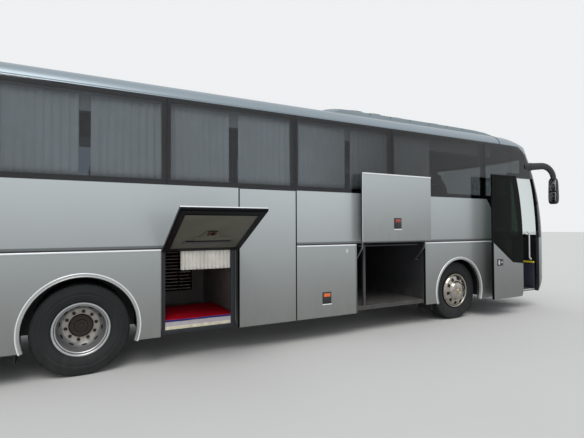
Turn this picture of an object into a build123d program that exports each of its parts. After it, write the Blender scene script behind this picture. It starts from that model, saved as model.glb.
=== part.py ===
from build123d import *
import math
import os

# Two-axle touring coach, millimetres. +X forwards, +Y to the left side, +Z up, ground at Z = 0.
# X = 0 is the middle of the length. The coach is drawn about its own centre plane, and every
# piece is moved sideways at the end so that Y = 0 is the middle of the whole outline, which
# the open hatch makes wider on the right.

# Body outline
front_x = 6000
rear_x = -6000
half_width = 1275
skirt_z = 343
flap_top_z = 1402
rail_z = 1416
belt_z = 2190
glass_top_z = 3276
wall = 60
glass_thick = 8
glass_seat = 0.2
seam = 6
panel_gap = 8
groove_depth = 12

# Roof section: corner arc, straight slope, crown arc and flat centre
roof_corner_radius = 270
roof_corner_z = 3205
roof_blend = 81
roof_slope_run = 380
roof_crown_radius = 1000

# Roof ends dip with this radius from these stations
front_cap_x = 4550
rear_cap_x = -5300
cap_axis_z = 1280

# Nose and tail in plan, and how far they lean: large radii about a cross axis
plan_overlap = 1.5
nose_corner_radius = 270
nose_blend = 62
nose_crown_radius = 1500
nose_axis_x = 2400
nose_axis_z = 1400
chin_x = 5250
tail_corner_radius = 200
tail_blend = 60
tail_crown_radius = 1500
tail_axis_x = 3000
tail_axis_z = 1500

# Wheels and axles
front_axle_x = 3200
rear_axle_x = -2860
tyre_radius = 515
tyre_width = 295
rim_radius = 298
bead_radius = 286
front_tyre_y = 1030
rear_outer_y = 1075
rear_inner_y = 745
kingpin_y = 868
kingpin_radius = 24
steer_limit = 42
arch_z = 530
front_arch_radius = 553
rear_arch_radius = 586
ground_clear = 0.5

# Side stations: window seams, and the openings between them
rear_band_x = -5523
front_band_x = 5300
window_seams = [-3730, -1939, -153, 1645, 3898]
pane_side_frame = 48
pane_low_frame = 66
pane_top_frame = 55
rear_wall_seam_x = -5640
front_wall_seam_x = 5300
roof_cap_seam_x = 4376

cabin_x = (-1999, -1018)
middle_door_x = (-1003, -136)
flap_2_x = (-129, 904)
flap_3_x = (930, 2360)
hold_end_x = (-2025, 2390)
bulkhead = 30

# Luggage flaps lift parallel to the side on two cranked arms
flap_thick = 32
flap_arm_length = 580
flap_closed_angle = -80
flap_open_angle = 65.7
flap_pivot_z = 1100
flap_attach_depth = 70
flap_arm_inset = 60
flap_arm_width = 26
flap_arm_thick = 14
flap_elbow = (214, 240)
flap_bracket = 22
pin_gap = 0.3

# Rest cabin hatch on a top hinge
hatch_thick = 30
hatch_open_angle = 117
hatch_hinge_out = 8
hatch_hinge_z = 1408
hatch_rim = 14

# Top hinges: knuckles of this radius and length, with this play between them
hinge_radius = 8
hinge_length = 70
hinge_play = 0.5
hinge_tab = 14

# Doors swing out parallel on cranked arms
door_thick = 40
door_gap = 12
door_bottom_z = 300
front_door_x = (4692, 5553)
front_door_top_x = 5377
front_door_top_z = 2630
middle_door_top_z = 2182
door_arm_length = 470
door_swing = 150
door_column_inset = 48
door_column_radius = 18
door_pivot_depth = 145
door_elbow = 200
front_arm_heights = (800, 2575)
middle_arm_heights = (800, 1300)
door_column_rise = 25
door_arm_thick = 30
door_bracket = 34

# Floors
deck_z = 1480
deck_thick = 50
cab_floor_z = 1000
cab_floor_x = 4250
hold_floor_z = 430
hold_floor_thick = 50
lining = 12

# Mirrors
mirror_head = (150, 230, 520)
mirror_head_x = 5830
mirror_head_y = 1440
mirror_head_z = 2440
mirror_round = 45
mirror_root = (5150, 1235, 2925)
mirror_arm_radius = 52

# Roof unit
unit_x = (820, 4620)
unit_half_width = 900
unit_top_z = 3800

# Interiors stand this far off the walls they are fixed to
fit_gap = 0.3


def box(x_low, x_high, y_low, y_high, z_low, z_high):
    centre = Pos((x_low + x_high) / 2, (y_low + y_high) / 2, (z_low + z_high) / 2)
    return centre * Box(x_high - x_low, y_high - y_low, z_high - z_low)


def cross_plane(x):
    """Upright plane across the coach: local x is +Y, local y is +Z."""
    return Plane(origin=(x, 0, 0), x_dir=(0, 1, 0), z_dir=(1, 0, 0))


def side_plane(y):
    """Upright plane along the coach, facing -Y: local x is +X, local y is +Z."""
    return Plane(origin=(0, y, 0), x_dir=(1, 0, 0), z_dir=(0, -1, 0))


def plan_down(z):
    """Level plane facing down: local x is +Y, local y is +X."""
    return Plane(origin=(0, 0, z), x_dir=(0, 1, 0), z_dir=(0, 0, -1))


def plan_up(z):
    """Level plane facing up: local x is +Y, local y is -X."""
    return Plane(origin=(0, 0, z), x_dir=(0, 1, 0), z_dir=(0, 0, 1))


def side_prism(points, y_low=-1500, y_high=1500):
    """A closed outline of (x, z) points, run from y_low to y_high."""
    outline = make_face(Polyline(points, close=True))
    return extrude(side_plane(y_high) * outline, y_high - y_low)


def cross_prism(points, x_low, x_high):
    """A closed outline of (y, z) points, run from x_low to x_high."""
    outline = make_face(Polyline(points, close=True))
    return extrude(cross_plane(x_low) * outline, x_high - x_low)


def rod(start, end, radius):
    """A round bar from start to end."""
    axis = Vector(*end) - Vector(*start)
    return extrude(Plane(origin=start, z_dir=axis) * Circle(radius), axis.length)


def sided(part, side):
    """The part as drawn for the right side (-1), or mirrored to the left (+1)."""
    return part if side < 0 else mirror(part, Plane.XZ)


def group(parts):
    solids = []
    for part in parts:
        solids += list(part.solids())
    return Compound(children=solids)


# Body form

def tip_reach(radius, blend, run, crown):
    """How far an arched outline reaches past the centre of its corner arcs."""
    angle = math.radians(blend)
    return radius * math.sin(angle) + run * math.cos(angle) + crown * (1 - math.sin(angle))


def arched_face(half, corner_radius, blend, run, crown_radius, corner, base, inset):
    """Straight sides, corner arcs, slopes of length run, crown arcs and a flat centre."""
    angle = math.radians(blend)
    cosine, sine = math.cos(angle), math.sin(angle)
    radius = corner_radius - inset
    crown = crown_radius - inset
    centre = half - corner_radius
    side = half - inset
    corner_start = (side, corner)
    corner_mid = (centre + radius * math.cos(angle / 2), corner + radius * math.sin(angle / 2))
    corner_end = (centre + radius * cosine, corner + radius * sine)
    slope_end = (corner_end[0] - run * sine, corner_end[1] + run * cosine)
    crown_centre = (slope_end[0] - crown * cosine, slope_end[1] - crown * sine)
    half_turn = (angle + math.pi / 2) / 2
    crown_mid = (
        crown_centre[0] + crown * math.cos(half_turn),
        crown_centre[1] + crown * math.sin(half_turn),
    )
    crown_end = (crown_centre[0], crown_centre[1] + crown)

    def flip(point):
        return (-point[0], point[1])

    edges = [Line((-side, base), (side, base)), Line((side, base), corner_start)]
    edges.append(ThreePointArc(corner_start, corner_mid, corner_end))
    if run:
        edges.append(Line(corner_end, slope_end))
    edges.append(ThreePointArc(slope_end, crown_mid, crown_end))
    edges.append(Line(crown_end, flip(crown_end)))
    edges.append(ThreePointArc(flip(crown_end), flip(crown_mid), flip(slope_end)))
    if run:
        edges.append(Line(flip(slope_end), flip(corner_end)))
    edges.append(ThreePointArc(flip(corner_end), flip(corner_mid), flip(corner_start)))
    edges.append(Line(flip(corner_start), (-side, base)))
    return make_face(edges)


nose_corner_x = front_x - tip_reach(nose_corner_radius, nose_blend, 0, nose_crown_radius)
tail_corner_x = rear_x + tip_reach(tail_corner_radius, tail_blend, 0, tail_crown_radius)
roof_top_z = roof_corner_z + tip_reach(
    roof_corner_radius, roof_blend, roof_slope_run, roof_crown_radius
)
chin_z = skirt_z + nose_corner_x - chin_x


def roof_face(base, inset):
    return arched_face(
        half_width, roof_corner_radius, roof_blend, roof_slope_run, roof_crown_radius,
        roof_corner_z, base, inset,
    )


def nose_face(base, inset):
    return arched_face(
        half_width + plan_overlap, nose_corner_radius, nose_blend, 0, nose_crown_radius,
        nose_corner_x, base, inset,
    )


def tail_face(base, inset):
    return arched_face(
        half_width + plan_overlap, tail_corner_radius, tail_blend, 0, tail_crown_radius,
        -tail_corner_x, base, inset,
    )


def front_form(inset, low):
    side = half_width - inset
    block = box(front_cap_x, front_x + 10, -side, side, low, cap_axis_z)
    cap_axis = Axis((front_cap_x, 0, cap_axis_z), (0, 1, 0))
    cap = revolve(cross_plane(front_cap_x) * roof_face(cap_axis_z, inset), cap_axis, 90)
    lean_axis = Axis((nose_axis_x, 0, nose_axis_z), (0, -1, 0))
    screen = revolve(plan_down(nose_axis_z) * nose_face(nose_axis_x, inset), lean_axis, 90)
    mask = extrude(plan_down(nose_axis_z) * nose_face(nose_axis_x, inset), nose_axis_z - chin_z)
    chin_axis = Axis((chin_x, 0, chin_z), (0, 1, 0))
    chin = revolve(plan_down(chin_z) * nose_face(chin_x, inset), chin_axis, 90)
    wide = side + plan_overlap
    back = box(nose_axis_x, chin_x, -wide, wide, low - 5, chin_z)
    return (block + cap) & (screen + mask + chin + back)


def rear_form(inset, low):
    side = half_width - inset
    block = box(rear_x - 10, rear_cap_x, -side, side, low, cap_axis_z)
    cap_axis = Axis((rear_cap_x, 0, cap_axis_z), (0, -1, 0))
    cap = revolve(cross_plane(rear_cap_x) * roof_face(cap_axis_z, inset), cap_axis, 90)
    lean_axis = Axis((tail_axis_x, 0, tail_axis_z), (0, 1, 0))
    upper = revolve(plan_up(tail_axis_z) * tail_face(-tail_axis_x, inset), lean_axis, 60)
    lower = extrude(plan_up(tail_axis_z) * tail_face(-tail_axis_x, inset), low - 5 - tail_axis_z)
    return (block + cap) & (upper + lower)


def body_form(inset, low):
    length = front_cap_x - rear_cap_x
    middle = extrude(cross_plane(rear_cap_x) * roof_face(low, inset), length)
    return front_form(inset, low) + middle + rear_form(inset, low)


inner_low = skirt_z - 20
outer_form = body_form(0, skirt_z)
glass_form = body_form(glass_thick, inner_low)
seat_form = body_form(glass_thick + glass_seat, inner_low)
door_form = body_form(door_thick, inner_low)
inner_form = body_form(wall, inner_low)
lining_form = body_form(wall + fit_gap, inner_low)
wall_skin = outer_form - inner_form
glass_skin = outer_form - glass_form
seat_skin = outer_form - seat_form
door_skin = outer_form - door_form

right_half = box(rear_x - 50, front_x + 50, -half_width - 50, 0, 0, 4000)
left_half = box(rear_x - 50, front_x + 50, 0, half_width + 50, 0, 4000)
halves = {-1: right_half, 1: left_half}


# Hinges

def hinge_knuckles(stations, out, z, held_above):
    """Barrels along +X at (y = -out, z), each with a tab up to the wall or down to the flap."""
    pieces = None
    for x in stations:
        low = x if held_above else x - hinge_length - hinge_play
        barrel = rod((low, -out, z), (low + hinge_length, -out, z), hinge_radius)
        tab_z = (z, z + hinge_tab) if held_above else (z - hinge_tab - 4, z)
        tab = box(low, low + hinge_length, -out, -out + hinge_tab + 2, *tab_z)
        knuckle = barrel + tab
        pieces = knuckle if pieces is None else pieces + knuckle
    return pieces


hatch_hinge_y = half_width + hatch_hinge_out
hatch_hinge_x = [cabin_x[0] + 200, (cabin_x[0] + cabin_x[1]) / 2, cabin_x[1] - 200]


# Openings

def front_door_prism(grow):
    rear, front = front_door_x[0] - grow, front_door_x[1] + grow
    top_front = (front_door_top_x + grow, front_door_top_z + grow)
    lean = Line((rear, front_door_top_z + grow), (rear, door_bottom_z))
    sweep = (front_door_top_z - nose_axis_z) ** 2
    drop = front_door_x[1] - front_door_top_x
    radius = (sweep + drop ** 2) / (2 * drop)
    bend = math.asin((front_door_top_z - nose_axis_z) / radius) / 2
    middle = (front - radius * (1 - math.cos(bend)), nose_axis_z + radius * math.sin(bend))
    edges = [
        lean,
        Line((rear, door_bottom_z), (front, door_bottom_z)),
        Line((front, door_bottom_z), (front, nose_axis_z)),
        ThreePointArc((front, nose_axis_z), middle, top_front),
        Line(top_front, (rear, front_door_top_z + grow)),
    ]
    return extrude(side_plane(0) * make_face(edges), 1500)


def flap_opening(x_range, side):
    prism = box(x_range[0] - panel_gap, x_range[1] + panel_gap, -1500, -900, 300, rail_z)
    return sided(prism, side)


def arch_cut(axle_x, radius):
    return extrude(side_plane(1500) * Pos(axle_x, arch_z) * Circle(radius), 3000)


band_outline = [
    (rear_band_x, belt_z),
    (front_band_x, belt_z),
    (front_band_x, front_door_top_z + door_gap + seam),
    (5130, 3130),
    (4960, glass_top_z),
    (rear_band_x, glass_top_z),
]
band = side_prism(band_outline)
front_door_hole = front_door_prism(door_gap)
middle_door_hole = box(
    middle_door_x[0] - panel_gap, middle_door_x[1] + panel_gap, -1500, 0, door_bottom_z, belt_z,
)

# Dark glass that sweeps down from the band towards the front door, and round the driver's window
right_quarter = side_prism([
    (3960, belt_z - glass_seat), (4110, 1980), (4300, 1700), (front_door_x[0] - door_gap, 1432),
    (front_door_x[0] - door_gap, belt_z - glass_seat),
])
left_quarter = side_prism([
    (3960, belt_z - glass_seat), (4110, 1980), (4300, 1700), (4700, 1490),
    (front_band_x, 1490), (front_band_x, belt_z - glass_seat),
])
quarters = {-1: right_quarter, 1: left_quarter}
driver_window = (4400, 5230, 1560, 2110)

# Window holes behind the panes: x from, x to, z from, z to
pane_low = belt_z + pane_low_frame
pane_high = glass_top_z - pane_top_frame
over_door_z = front_door_top_z + 100
stations = [rear_band_x] + window_seams
shared_holes = []
for x_low, x_high in zip(stations, window_seams):
    hole = (x_low + pane_side_frame, x_high - pane_side_frame, pane_low, pane_high)
    shared_holes.append(hole)
front_bay_low = window_seams[4] + pane_side_frame
right_holes = shared_holes + [
    (front_bay_low, front_door_x[0] - door_gap - pane_side_frame, pane_low, pane_high),
    (front_door_x[0] - door_gap - pane_side_frame, 5040, over_door_z, 3140),
]
left_holes = shared_holes + [
    (front_bay_low, 5060, pane_low, 3140),
    driver_window,
]


# Side walls, their glass and the roof

def side_wall(side):
    """Upper wall, from the groove above the flaps to the roof, with its windows cut."""
    zone = side_prism([
        (rear_wall_seam_x, flap_top_z + fit_gap),
        (front_wall_seam_x, flap_top_z + fit_gap),
        (front_wall_seam_x, front_door_top_z),
        (5130, 3130),
        (4960, glass_top_z),
        (rear_wall_seam_x, glass_top_z),
    ])
    piece = wall_skin & zone & halves[side]
    piece -= seat_skin & (band + quarters[side]) & halves[side]
    groove = box(rear_wall_seam_x, front_wall_seam_x, -1500, groove_depth - half_width, 1300, rail_z)
    piece -= sided(groove, side)
    for x_range in (flap_2_x, flap_3_x):
        piece -= flap_opening(x_range, side)
    holes = right_holes if side < 0 else left_holes
    for x_low, x_high, z_low, z_high in holes:
        piece -= sided(box(x_low, x_high, -1500, -1000, z_low, z_high), side)
    if side < 0:
        piece -= flap_opening(cabin_x, side)
        piece -= middle_door_hole
        piece -= front_door_hole
        piece += hinge_knuckles(hatch_hinge_x, hatch_hinge_y, hatch_hinge_z, True)
    return piece


def side_skirts(side):
    """Fixed panels below the groove, between the flaps, doors and arches."""
    zone = box(rear_wall_seam_x, front_wall_seam_x, -1500, 1500, skirt_z - 10, flap_top_z)
    piece = wall_skin & zone & halves[side]
    piece -= arch_cut(front_axle_x, front_arch_radius)
    piece -= arch_cut(rear_axle_x, rear_arch_radius)
    for x_range in (flap_2_x, flap_3_x):
        piece -= flap_opening(x_range, side)
    if side < 0:
        piece -= flap_opening(cabin_x, side)
        piece -= middle_door_hole
        piece -= front_door_hole
    return group([piece])


def side_panes():
    panes = []
    edges = [rear_band_x] + window_seams + [front_door_x[0] - door_gap, front_band_x]
    for side in (-1, 1):
        for x_low, x_high in zip(edges, edges[1:]):
            cell = box(x_low + seam / 2, x_high - seam / 2, -1500, 1500, belt_z, glass_top_z)
            pane = glass_skin & band & cell & halves[side]
            if side < 0:
                pane -= front_door_hole
            panes.append(pane)
        panes.append(glass_skin & quarters[side] & halves[side])
    return group(panes)


cap_outline = [
    (roof_cap_seam_x + seam, glass_top_z + fit_gap),
    (4960 + fit_gap, glass_top_z + fit_gap),
    (5130 + fit_gap, 3130 + fit_gap),
    (front_x + 100, 3130 + fit_gap),
    (front_x + 100, 3800),
    (roof_cap_seam_x + seam, 3800),
]


roof_hatch_x = [-4100, -700]
roof_hatch_size = 760
roof_hatch_rise = 60


# The roof's crown stands on a cove panel along each side and on a header over the rear window
cove_top_z = 3392


def roof_panel():
    """Crown with its hatches, the two cove panels and the rear header."""
    zone = box(rear_x, roof_cap_seam_x, -1500, 1500, glass_top_z + fit_gap, 3800)
    piece = wall_skin & zone
    for x in roof_hatch_x:
        half = roof_hatch_size / 2
        hatch = box(x - half, x + half, -half, half, roof_top_z - 20, roof_top_z + roof_hatch_rise)
        piece += fillet(hatch.edges().filter_by(Axis.Z), 80)
    piece -= box(rear_x, roof_cap_seam_x, -1500, 1500, cove_top_z, cove_top_z + fit_gap)
    piece -= box(
        rear_wall_seam_x - fit_gap, rear_wall_seam_x, -1500, 1500, glass_top_z, cove_top_z,
    )
    return group([piece])


# Front and rear

def lean_disc(radius, z_low, z_high):
    """All that lies behind a radius about the nose's lean axis, between two levels."""
    disc = Pos(nose_axis_x, nose_axis_z) * Circle(radius)
    solid = extrude(side_plane(1500) * disc, 3000)
    return solid & box(nose_axis_x, front_x + 100, -1500, 1500, z_low, z_high)


screen_edge_radius = 3290
screen_low_z = 1450
screen_high_z = 3130
screen_rim = 45
mask_top_z = screen_low_z - seam
screen_zone = box(4900, front_x + 100, -1500, 1500, screen_low_z, screen_high_z)
screen_zone -= lean_disc(screen_edge_radius, 0, 4000)

headlamp_x = 5650
headlamp_z = (640, 880)
headlamp_y = 640


def front_mask():
    zone = box(front_wall_seam_x + seam, front_x + 50, -1500, 1500, skirt_z - 10, mask_top_z)
    piece = wall_skin & zone
    piece -= front_door_hole
    for lamp in headlamp_cells(0):
        piece -= lamp
    return piece - grille_cell(0)


# Air slot low in the mask, and its grille: half width, low and high
grille_y = 520
grille_z = (440, 590)
grille_bar = 16
grille_bars = 4
grille_depth = (14, 44)


def grille_cell(shrink):
    return box(
        5300, front_x + 50, shrink - grille_y, grille_y - shrink,
        grille_z[0] + shrink, grille_z[1] - shrink,
    )


def front_grille():
    """Level bars that follow the nose, joined by uprights."""
    layer = body_form(grille_depth[0], inner_low) - body_form(grille_depth[1], inner_low)
    cell = grille_cell(fit_gap)
    pitch = (grille_z[1] - grille_z[0] - 2 * fit_gap - grille_bar) / (grille_bars - 1)
    bars = None
    for index in range(grille_bars):
        low = grille_z[0] + fit_gap + pitch * index
        bar = box(5300, front_x + 50, -grille_y, grille_y, low, low + grille_bar)
        bars = bar if bars is None else bars + bar
    for y in (-grille_y + 10, 0, grille_y - 10):
        bars += box(5300, front_x + 50, y - 10, y + 10, *grille_z)
    return layer & cell & bars


def headlamp_cells(shrink):
    cells = []
    for side in (-1, 1):
        cell = box(
            headlamp_x + shrink, front_x + 20, -1300, -headlamp_y - shrink,
            headlamp_z[0] + shrink, headlamp_z[1] - shrink,
        )
        cells.append(sided(cell, side))
    return cells


def headlamps():
    return group([door_skin & cell for cell in headlamp_cells(0.3)])


def front_frame():
    zone = side_prism([
        (front_wall_seam_x + seam, mask_top_z + 0.3),
        (front_x + 50, mask_top_z + 0.3),
        (front_x + 50, screen_high_z),
        (5130 + seam, screen_high_z),
        (front_wall_seam_x + seam, front_door_top_z + door_gap + seam),
    ])
    piece = wall_skin & zone
    piece -= front_door_hole
    rebate = box(4900, front_x + 100, -1500, 1500, screen_low_z - 3, screen_high_z + 10)
    rebate -= lean_disc(screen_edge_radius - 3, 0, 4000)
    piece -= seat_skin & rebate
    view = box(4900, front_x + 100, -1500, 1500, screen_low_z + screen_rim, 3130 - screen_rim)
    view -= lean_disc(screen_edge_radius + screen_rim, 0, 4000)
    piece -= view
    return piece


def windscreen():
    return glass_skin & screen_zone


def front_cap():
    return wall_skin & side_prism(cap_outline)


engine_flap_y = 880
engine_flap_z = (560, 1790)
engine_hinge_z = 1796
engine_hinge_out = 8
engine_hinge_y = [-380, -35, 310]
rear_glass_y = 900
rear_glass_z = (2280, 3120)
tail_lamp_y = (960, 1130)
tail_lamp_z = (900, 1750)


def tail_cell(y_low, y_high, z_low, z_high):
    return box(rear_x - 20, rear_wall_seam_x - 100, y_low, y_high, z_low, z_high)


def rear_wall():
    zone = box(rear_x - 50, rear_wall_seam_x - seam, -1500, 1500, skirt_z - 10, glass_top_z)
    piece = wall_skin & zone
    piece -= tail_cell(
        -engine_flap_y - panel_gap, engine_flap_y + panel_gap,
        engine_flap_z[0] - panel_gap, engine_hinge_z + panel_gap,
    )
    glass_cell = tail_cell(-rear_glass_y, rear_glass_y, *rear_glass_z)
    piece -= seat_skin & glass_cell
    piece -= tail_cell(
        60 - rear_glass_y, rear_glass_y - 60, rear_glass_z[0] + 60, rear_glass_z[1] - 60
    )
    for lamp in tail_lamp_cells(0):
        piece -= lamp
    return piece + engine_hinges(True)


def engine_hinges(held_above):
    """The same knuckles, turned to run across the tail."""
    row = hinge_knuckles(engine_hinge_y, engine_hinge_out - rear_x, engine_hinge_z, held_above)
    return row.rotate(Axis.Z, -90)


def tail_lamp_cells(shrink):
    cells = []
    for side in (-1, 1):
        cell = tail_cell(
            -tail_lamp_y[1] + shrink, -tail_lamp_y[0] - shrink,
            tail_lamp_z[0] + shrink, tail_lamp_z[1] - shrink,
        )
        cells.append(sided(cell, side))
    return cells


def tail_lamps():
    return group([door_skin & cell for cell in tail_lamp_cells(0.3)])


def rear_window():
    inner = rear_glass_y - 3
    return glass_skin & tail_cell(-inner, inner, rear_glass_z[0] + 3, rear_glass_z[1] - 3)


def engine_flap():
    cell = tail_cell(-engine_flap_y, engine_flap_y, *engine_flap_z)
    return (door_skin & cell) + engine_hinges(False)


# Wheels and axles

def wheel_plane(x, y):
    """Level plane through a wheel's centre, for outlines spun about the wheel's own axis."""
    return Plane(origin=(x, y, tyre_radius), x_dir=(1, 0, 0), z_dir=(0, 0, 1))


def spun(points, x, y, side):
    """Outline of (radius, outward) points, spun about the wheel's axis."""
    outline = make_face(Polyline([(r, side * out) for r, out in points], close=True))
    axis = Axis((x, y, tyre_radius), (0, 1, 0))
    return revolve(wheel_plane(x, y) * outline, axis, 360)


def tyre(x, y, side):
    half = tyre_width / 2
    outline = [
        (rim_radius, half - 45),
        (tyre_radius - 130, half),
        (tyre_radius - 50, half - 6),
        (tyre_radius, half - 34),
    ]
    return spun(outline + [(r, -out) for r, out in reversed(outline)], x, y, side)


front_face_out = 80
twin_disc = 28


def front_rim(x, y, side):
    half = tyre_width / 2 - 45
    outline = [
        (rim_radius - 0.3, half),
        (rim_radius - 28, half),
        (250, half - 30),
        (236, front_face_out - 42),
        (210, front_face_out + 8),
        (150, front_face_out + 12),
        (125, front_face_out + 52),
        (60, front_face_out + 66),
        (0, front_face_out + 66),
        (0, front_face_out - 40),
        (140, front_face_out - 40),
        (205, front_face_out - 34),
        (240, 0),
        (262, -half),
        (rim_radius - 0.3, -half),
    ]
    return spun(outline, x, y, side)


def rear_rims(x, side):
    """Both rims of a twin pair: the outer one is dished inwards to the hub's flange."""
    half = tyre_width / 2 - 45
    mid = (rear_outer_y + rear_inner_y) / 2
    outer = rear_outer_y - mid
    outline = [
        (rim_radius - 0.3, outer + half),
        (rim_radius - 26, outer + half),
        (262, outer + half - 30),
        (258, outer - 20),
        (232, twin_disc),
        (0, twin_disc),
        (0, -twin_disc),
        (232, -twin_disc),
        (258, 20 - outer),
        (262, 30 - outer - half),
        (rim_radius - 26, -outer - half),
        (rim_radius - 0.3, -outer - half),
    ]
    disc = spun(outline, x, side * mid, side)
    hub = rod((x, side * (mid + 20), tyre_radius), (x, side * (mid + 175), tyre_radius), 128)
    piece = disc + hub
    cutter_plane = Plane(origin=(x, side * (mid - 60), tyre_radius), z_dir=(0, side, 0))
    for index in range(10):
        place = Rot(0, 0, 36 * index) * Pos(198, 0, 0)
        piece -= extrude(cutter_plane * place * Circle(26), 120)
    return piece


# Kingpin joint: the beam's eye between the knuckle's two lugs
kingpin_play = 0.05
eye_radius = 46
eye_z = (478, 556)
lug_gap = 2
lug_thick = 34
drum_radius = 205
drum_start_y = 922


def front_axle():
    """Dropped beam with an eye at each end and a column for each air spring."""
    x_low, x_high = front_axle_x - 55, front_axle_x + 55
    beam = box(front_axle_x - 60, front_axle_x + 60, -680, 680, 330, 430)
    neck = [(-660, 330), (-740, 345), (-806, eye_z[0]), (-kingpin_y, eye_z[0]),
            (-kingpin_y, eye_z[1]), (-790, eye_z[1]), (-718, 452), (-660, 430)]
    end = cross_prism(neck, x_low, x_high) - box(x_low - 5, x_high + 5, -900, -806, 0, 900)
    end += box(front_axle_x - 40, front_axle_x + 40, -kingpin_y, -800, *eye_z)
    end += rod((front_axle_x, -kingpin_y, eye_z[0]), (front_axle_x, -kingpin_y, eye_z[1]), eye_radius)
    end -= rod(
        (front_axle_x, -kingpin_y, 400), (front_axle_x, -kingpin_y, 700),
        kingpin_radius + kingpin_play,
    )
    for side in (-1, 1):
        beam += sided(end, side)
        seat = (front_axle_x, side * 425, 400)
        beam += rod(seat, (front_axle_x, side * 425, rail_low_z), 85)
    return beam


# Chassis rails: low and high in y and z
rail_y = (380, 470)
rail_low_z = 640
rail_high_z = 800
front_hub_out = front_face_out - 40
stub_end = front_tyre_y + front_hub_out - fit_gap


def knuckle(side):
    """Kingpin between two lugs, brake drum and stub axle."""
    x, y = front_axle_x, -kingpin_y
    low = eye_z[0] - lug_gap - lug_thick
    high = eye_z[1] + lug_gap
    piece = rod((x, y, low), (x, y, high + lug_thick), kingpin_radius)
    for z in (low, high):
        piece += rod((x, y, z), (x, y, z + lug_thick), eye_radius)
        piece += box(x - 40, x + 40, -drum_start_y - 4, y, z, z + lug_thick)
    piece += rod((x, -drum_start_y, tyre_radius), (x, 20 - front_tyre_y, tyre_radius), drum_radius)
    piece += rod((x, -drum_start_y, tyre_radius), (x, -stub_end, tyre_radius), 60)
    return sided(piece, side)


def rear_axle():
    tube_end = (rear_outer_y + rear_inner_y) / 2 - twin_disc - fit_gap
    z = tyre_radius
    tube = rod((rear_axle_x, -tube_end, z), (rear_axle_x, tube_end, z), 85)
    bowl = Pos(rear_axle_x, 0, z) * Sphere(225)
    piece = tube + bowl
    for side in (-1, 1):
        inner = side * 575
        drum = rod((rear_axle_x, inner, z), (rear_axle_x, side * (tube_end - 5), z), 205)
        piece += drum
        for step in (-320, 320):
            x = rear_axle_x + step
            piece += rod((x, side * 425, 470), (x, side * 425, rail_low_z), 110)
        arm = box(rear_axle_x - 420, rear_axle_x + 420, 385, 465, 430, 500)
        piece += arm if side > 0 else mirror(arm, Plane.XZ)
    return piece


front_house_x = 615
front_house_y = 512
rear_house_x = 640
rear_house_y = 560
house_top_z = 1135
house_wall = 16
axle_slot_x = 235
axle_slot_z = 745


def wheel_houses():
    pieces = []
    table = [
        (front_axle_x, front_house_x, front_house_y),
        (rear_axle_x, rear_house_x, rear_house_y),
    ]
    for axle_x, reach, inner_y in table:
        outer = half_width - wall - 0.3
        shell = box(
            axle_x - reach - house_wall, axle_x + reach + house_wall,
            -outer, -inner_y + house_wall, 380, house_top_z + house_wall,
        )
        shell -= box(axle_x - reach, axle_x + reach, -outer - 10, -inner_y, 370, house_top_z)
        shell -= box(axle_x - axle_slot_x, axle_x + axle_slot_x, -outer, 0, 370, axle_slot_z)
        pieces += [shell, sided(shell, 1)]
    return group(pieces)


# Floors, bulkheads and rails

def floor_deck():
    outer = half_width - wall
    deck = box(rear_x, cab_floor_x, -outer, outer, deck_z - deck_thick, deck_z)
    deck &= lining_form
    x_low = bay_walls()[1] + bulkhead / 2
    x_high = bay_walls()[2] - bulkhead / 2
    well = box(x_low, x_high, -outer - 5, stair_edge_y, 1400, 1500)
    return deck - well


def bay_walls():
    """Bulkhead centres, in the gaps between the openings."""
    return [
        hold_end_x[0],
        (cabin_x[1] + middle_door_x[0]) / 2,
        (middle_door_x[1] + flap_2_x[0]) / 2,
        (flap_2_x[1] + flap_3_x[0]) / 2,
        hold_end_x[1],
    ]


def luggage_hold():
    """Hold floor, and the bulkheads that stand on it between the openings."""
    outer = half_width - wall
    ceiling = deck_z - deck_thick
    half = bulkhead / 2
    floor_low = hold_floor_z - hold_floor_thick
    pieces = [box(hold_end_x[0] - half, hold_end_x[1] + half, -outer, outer, floor_low, hold_floor_z)]
    for x in bay_walls():
        low = hold_floor_z + fit_gap
        pieces.append(box(x - half, x + half, -outer, outer, low, ceiling))
    return group(pieces)


# Towing lugs under the right-hand rail: x, and the pin hole
tow_table = {"front": 5480, "rear": -5560}
tow_y = (rail_y[0] + rail_y[1]) / 2
tow_thick = 40
tow_z = 290
tow_radius = 20
tow_eye_radius = 48
cross_member_x = [2620, 4100, 5380, -2150, -3700, -5720]


def chassis_rails():
    """Rails ahead of and behind the hold, cross members between them, and towing lugs below."""
    pieces = []
    gap = bulkhead / 2 + fit_gap
    for x_low, x_high in ((hold_end_x[1] + gap, 5560), (-5850, hold_end_x[0] - gap)):
        for side in (-1, 1):
            rail = box(x_low, x_high, -rail_y[1], -rail_y[0], rail_low_z, rail_high_z)
            pieces.append(sided(rail, side))
    reach = rail_y[0] - fit_gap
    for x in cross_member_x:
        pieces.append(box(x - 35, x + 35, -reach, reach, rail_low_z + 30, rail_high_z - 40))
    y_low, y_high = -tow_y - tow_thick / 2, -tow_y + tow_thick / 2
    for x in tow_table.values():
        lug = rod((x, y_low, tow_z), (x, y_high, tow_z), tow_eye_radius)
        lug += box(x - tow_eye_radius, x + tow_eye_radius, y_low, y_high, tow_z, rail_low_z - fit_gap)
        lug -= rod((x, y_low - 1, tow_z), (x, y_high + 1, tow_z), tow_radius)
        pieces.append(lug)
    return group(pieces)


stair_edge_y = -480
first_tread_z = 400
# Front steps: inner edge y, tread z
front_steps = [(-980, first_tread_z), (-740, 700), (stair_edge_y, cab_floor_z)]
middle_treads = 4
middle_tread_z = 460


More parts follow.
